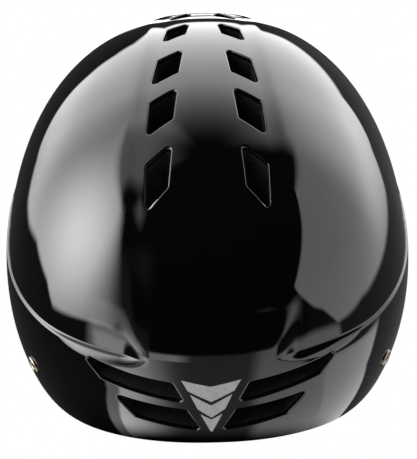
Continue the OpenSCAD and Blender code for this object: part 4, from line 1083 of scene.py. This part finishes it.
def rounded_copy(node, material, width, angle=30):
    """A copy of a CAD node with joined faces and edges rounded over, as an injection mould leaves them."""
    piece = piece_of(node + "_moulded", frame["nodes"][node].data.copy())
    work = bmesh.new()
    work.from_mesh(piece.data)
    bmesh.ops.remove_doubles(work, verts=work.verts, dist=0.002 * MM)
    bmesh.ops.dissolve_limit(work, angle_limit=math.radians(1), verts=work.verts, edges=work.edges)
    work.to_mesh(piece.data)
    work.free()
    rounding = piece.modifiers.new("rounding", "BEVEL")
    rounding.width = width * MM
    rounding.segments = 2
    rounding.angle_limit = math.radians(angle)
    finish_by_hand(piece, angle)
    settle(piece, node, material)
    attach(piece, body_of[node])


# Acetal: near black and satin, with the fine even grain of a spark-eroded mould
acetal = grained("satin_black_acetal", "#222326", 0.42, 0.5, 0.03)
lever_acetal = grained("satin_grey_acetal", "#36383c", 0.38, 0.5, 0.03)
for word in ("right", "left"):
    rounded_copy(word + "_divider", acetal, 0.45)
    rounded_copy(word + "_cam_lever", lever_acetal, 0.3)

# The chin loop. Two lengths of the same webbing hang from the dividers, wrap the bars of the side-release
# buckle and lie double; the left one's loose end runs through a rubber keeper.
swing_z, turn_w, chin_z, bar_r = -57, 25, -101, 1.6
turn_z = swing_z - 9
swing_x = divider_x - divider_t / 2 - fit - web_t / 2
layer, wrap_r = (web_t + 0.1) / 2, bar_r + fit + web_t / 2
buckle_x, socket_l, plug_l, web_len, tail_l = 6, 30, 16, 12, 36


def chin_route(bar_x, back):
    """The way of a chin strap in the plane of the loop: down, round and under the chin, and round its bar."""
    way = [(swing_x, swing_z + up) for up in (web_w / 2 - 0.1, web_w / 4, 0)] + [(swing_x, turn_z)]
    upper, lower = chin_z + layer, chin_z - layer
    for a in range(15, 91, 15):
        turn = math.radians(a)
        way.append((swing_x - turn_w * (1 - math.cos(turn)), turn_z + (upper - turn_z) * math.sin(turn)))
    way += [(bar_x + 6, upper + 0.2), (bar_x + 3, chin_z + wrap_r - 0.5)]
    for a in range(90, 271, 30):
        turn = math.radians(a)
        way.append((bar_x + wrap_r * math.cos(turn), chin_z + wrap_r * math.sin(turn)))
    way += [(bar_x + 3, chin_z - wrap_r + 0.5), (bar_x + 6, lower - 0.2)]
    way += [(bar_x + 9, lower), (bar_x + back, lower)]
    return np.array([(x, divider_y, z) for x, z in way])


def chin_width(line):
    """The full width, apart from the round top end on the divider."""
    over = np.maximum(0, line[:, 2] - swing_z)
    return 2 * np.sqrt(np.maximum(0.3, (web_w / 2) ** 2 - over ** 2))


for side, word, bar_x, back in (
    (1, "right", buckle_x + socket_l - bar_r, web_len),
    (-1, "left", plug_l - bar_r - buckle_x, tail_l),
):
    node = word + "_chin_strap"
    route = chin_route(bar_x, back)
    facings = unit(np.cross(np.gradient(route, axis=0), (0, 1, 0)))
    route, facings = mirrored(route, side), mirrored(facings, side)
    piece = strip(node + "_webbing", route, facings, chin_width, web_t, web_edge)
    settle(piece, node, webbing)
    if word == "left":
        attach(piece, "chin_loop")
    else:
        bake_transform(piece)
rounded_copy("buckle_socket", acetal, 0.6)
rounded_copy("buckle_plug", acetal, 0.5)
rounded_copy("plug_prongs", lever_acetal, 0.35)
# Rubber: black and dull, with a slightly soft skin
rounded_copy("strap_keeper", grained("moulded_black_rubber", "#161617", 0.75, 0.35, 0.06), 0.5)

# The headband. Two flexible strips of textured polypropylene from the temple pins back to the racks, with the
# pins that hold them and the two hangers that carry the dial unit.
band_w, band_t, band_edge, band_fit = 12, 1.6, 0.6, 0.9
dial_y, dial_z, base_t, housing_half, housing_r = 90.4, -38, 1.9, 29, 17
rack_t, rack_fit, rack_travel = 2.4, 0.25 + 0.35, 7.5
pin_t, pin_z, band_end_t, level_t = 66, 6, 141, 152
rack_y = dial_y + base_t + rack_fit
band_d = cavity_d - band_t / 2 - band_fit
paddle_x, paddle_l = housing_half + rack_travel + 1, 9
hook_y = rack_y + rack_t + 0.2 + band_t / 2


def face_out(t, z):
    """The way that the band faces, away from the head, at an angle and a height."""
    across = wall(t + 2, z, band_d) - wall(t - 2, z, band_d)
    return unit(np.cross(across, wall(t, z + 3, band_d) - wall(t, z - 3, band_d)))


# Polypropylene: soft black with a leather-fine mould texture
pliable = grained("textured_black_polypropylene", "#242528", 0.5, 0.7, 0.08)
route, facings = [], []
for t in range(pin_t - 5, band_end_t, 8):
    z = pin_z + (dial_z - pin_z) * smooth((t - pin_t) / (level_t - pin_t))
    route.append(wall(t, z, band_d))
    facings.append(face_out(t, max(0, z)))
route += [
    (paddle_x + paddle_l + 8, hook_y - 11, dial_z + 0.6),
    (paddle_x + paddle_l + 4.5, hook_y - 2.4, dial_z),
    (paddle_x + paddle_l + 0.8, hook_y, dial_z),
    (paddle_x, hook_y, dial_z),
]
facings += [unit(np.array((0.8, 0.6, 0))), unit(np.array((0.4, 0.92, 0))), (0, 1, 0), (0, 1, 0)]
for side, word in ((1, "right"), (-1, "left")):
    node = word + "_headband"
    line, faces = (mirrored(np.array(points), side) for points in (route, facings))
    band = strip(node + "_strip", line, faces, band_w, band_t, band_edge)
    settle(band, node, pliable)
    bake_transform(band)
rounded_copy("headband_pins", grained("push_pin_nylon", "#3b3d42", 0.4, 0.5, 0.03), 0.4, 40)
rounded_copy("cradle_hangers", pliable, 0.35, 60)

# The dial unit. A base plate and a housing held by four screws guide the two racks; the pinion turns with
# the ribbed dial, whose clicks come from the spring plate. A knit pad lies between it and the head.
pad_y = dial_y - 0.1 - 1.5 - 0.3
cradle_pad_l, cradle_pad_h, cradle_pad_t = 54, 32, 3.6
# Nylon: black with a satin, slightly cloudy skin; zinc: a dull blue-grey; the spring and pinion stay bare
nylon = grained("satin_black_nylon", "#26272a", 0.45, 0.45, 0.05)
dial_nylon = grained("ribbed_dial_nylon", "#2b2c30", 0.4, 0.4, 0.05)
zinc = grained("zinc_plated_steel", "#77797b", 0.5, 0.5, 0.02, 0.2, 1.0)
rounded_copy("dial_base", pliable, 0.4)
rounded_copy("dial_housing", nylon, 0.7)
rounded_copy("dial_knob", dial_nylon, 0.4)
for word in ("right", "left"):
    rounded_copy(word + "_rack", pliable, 0.15)
dress("dial_pinion", grained("natural_acetal", "#d8d4c8", 0.4, 0.5, 0.02))
dress("dial_screw", zinc)
dress("housing_screws", zinc)
dress("click_spring", grained("bright_spring_steel", "#c4c6c8", 0.2, 0.3, 0.01, 0.15, 1.0))


def on_base(u, v, lift):
    """The place of the pad on the dial's base, for cushion()."""
    return np.stack([-u * (housing_half - 2), pad_y - lift, dial_z + v * (housing_r - 1)], -1)


cushion("cradle_pad", on_base, cradle_pad_l, cradle_pad_h, (-0.34, 0.34), cradle_pad_t)
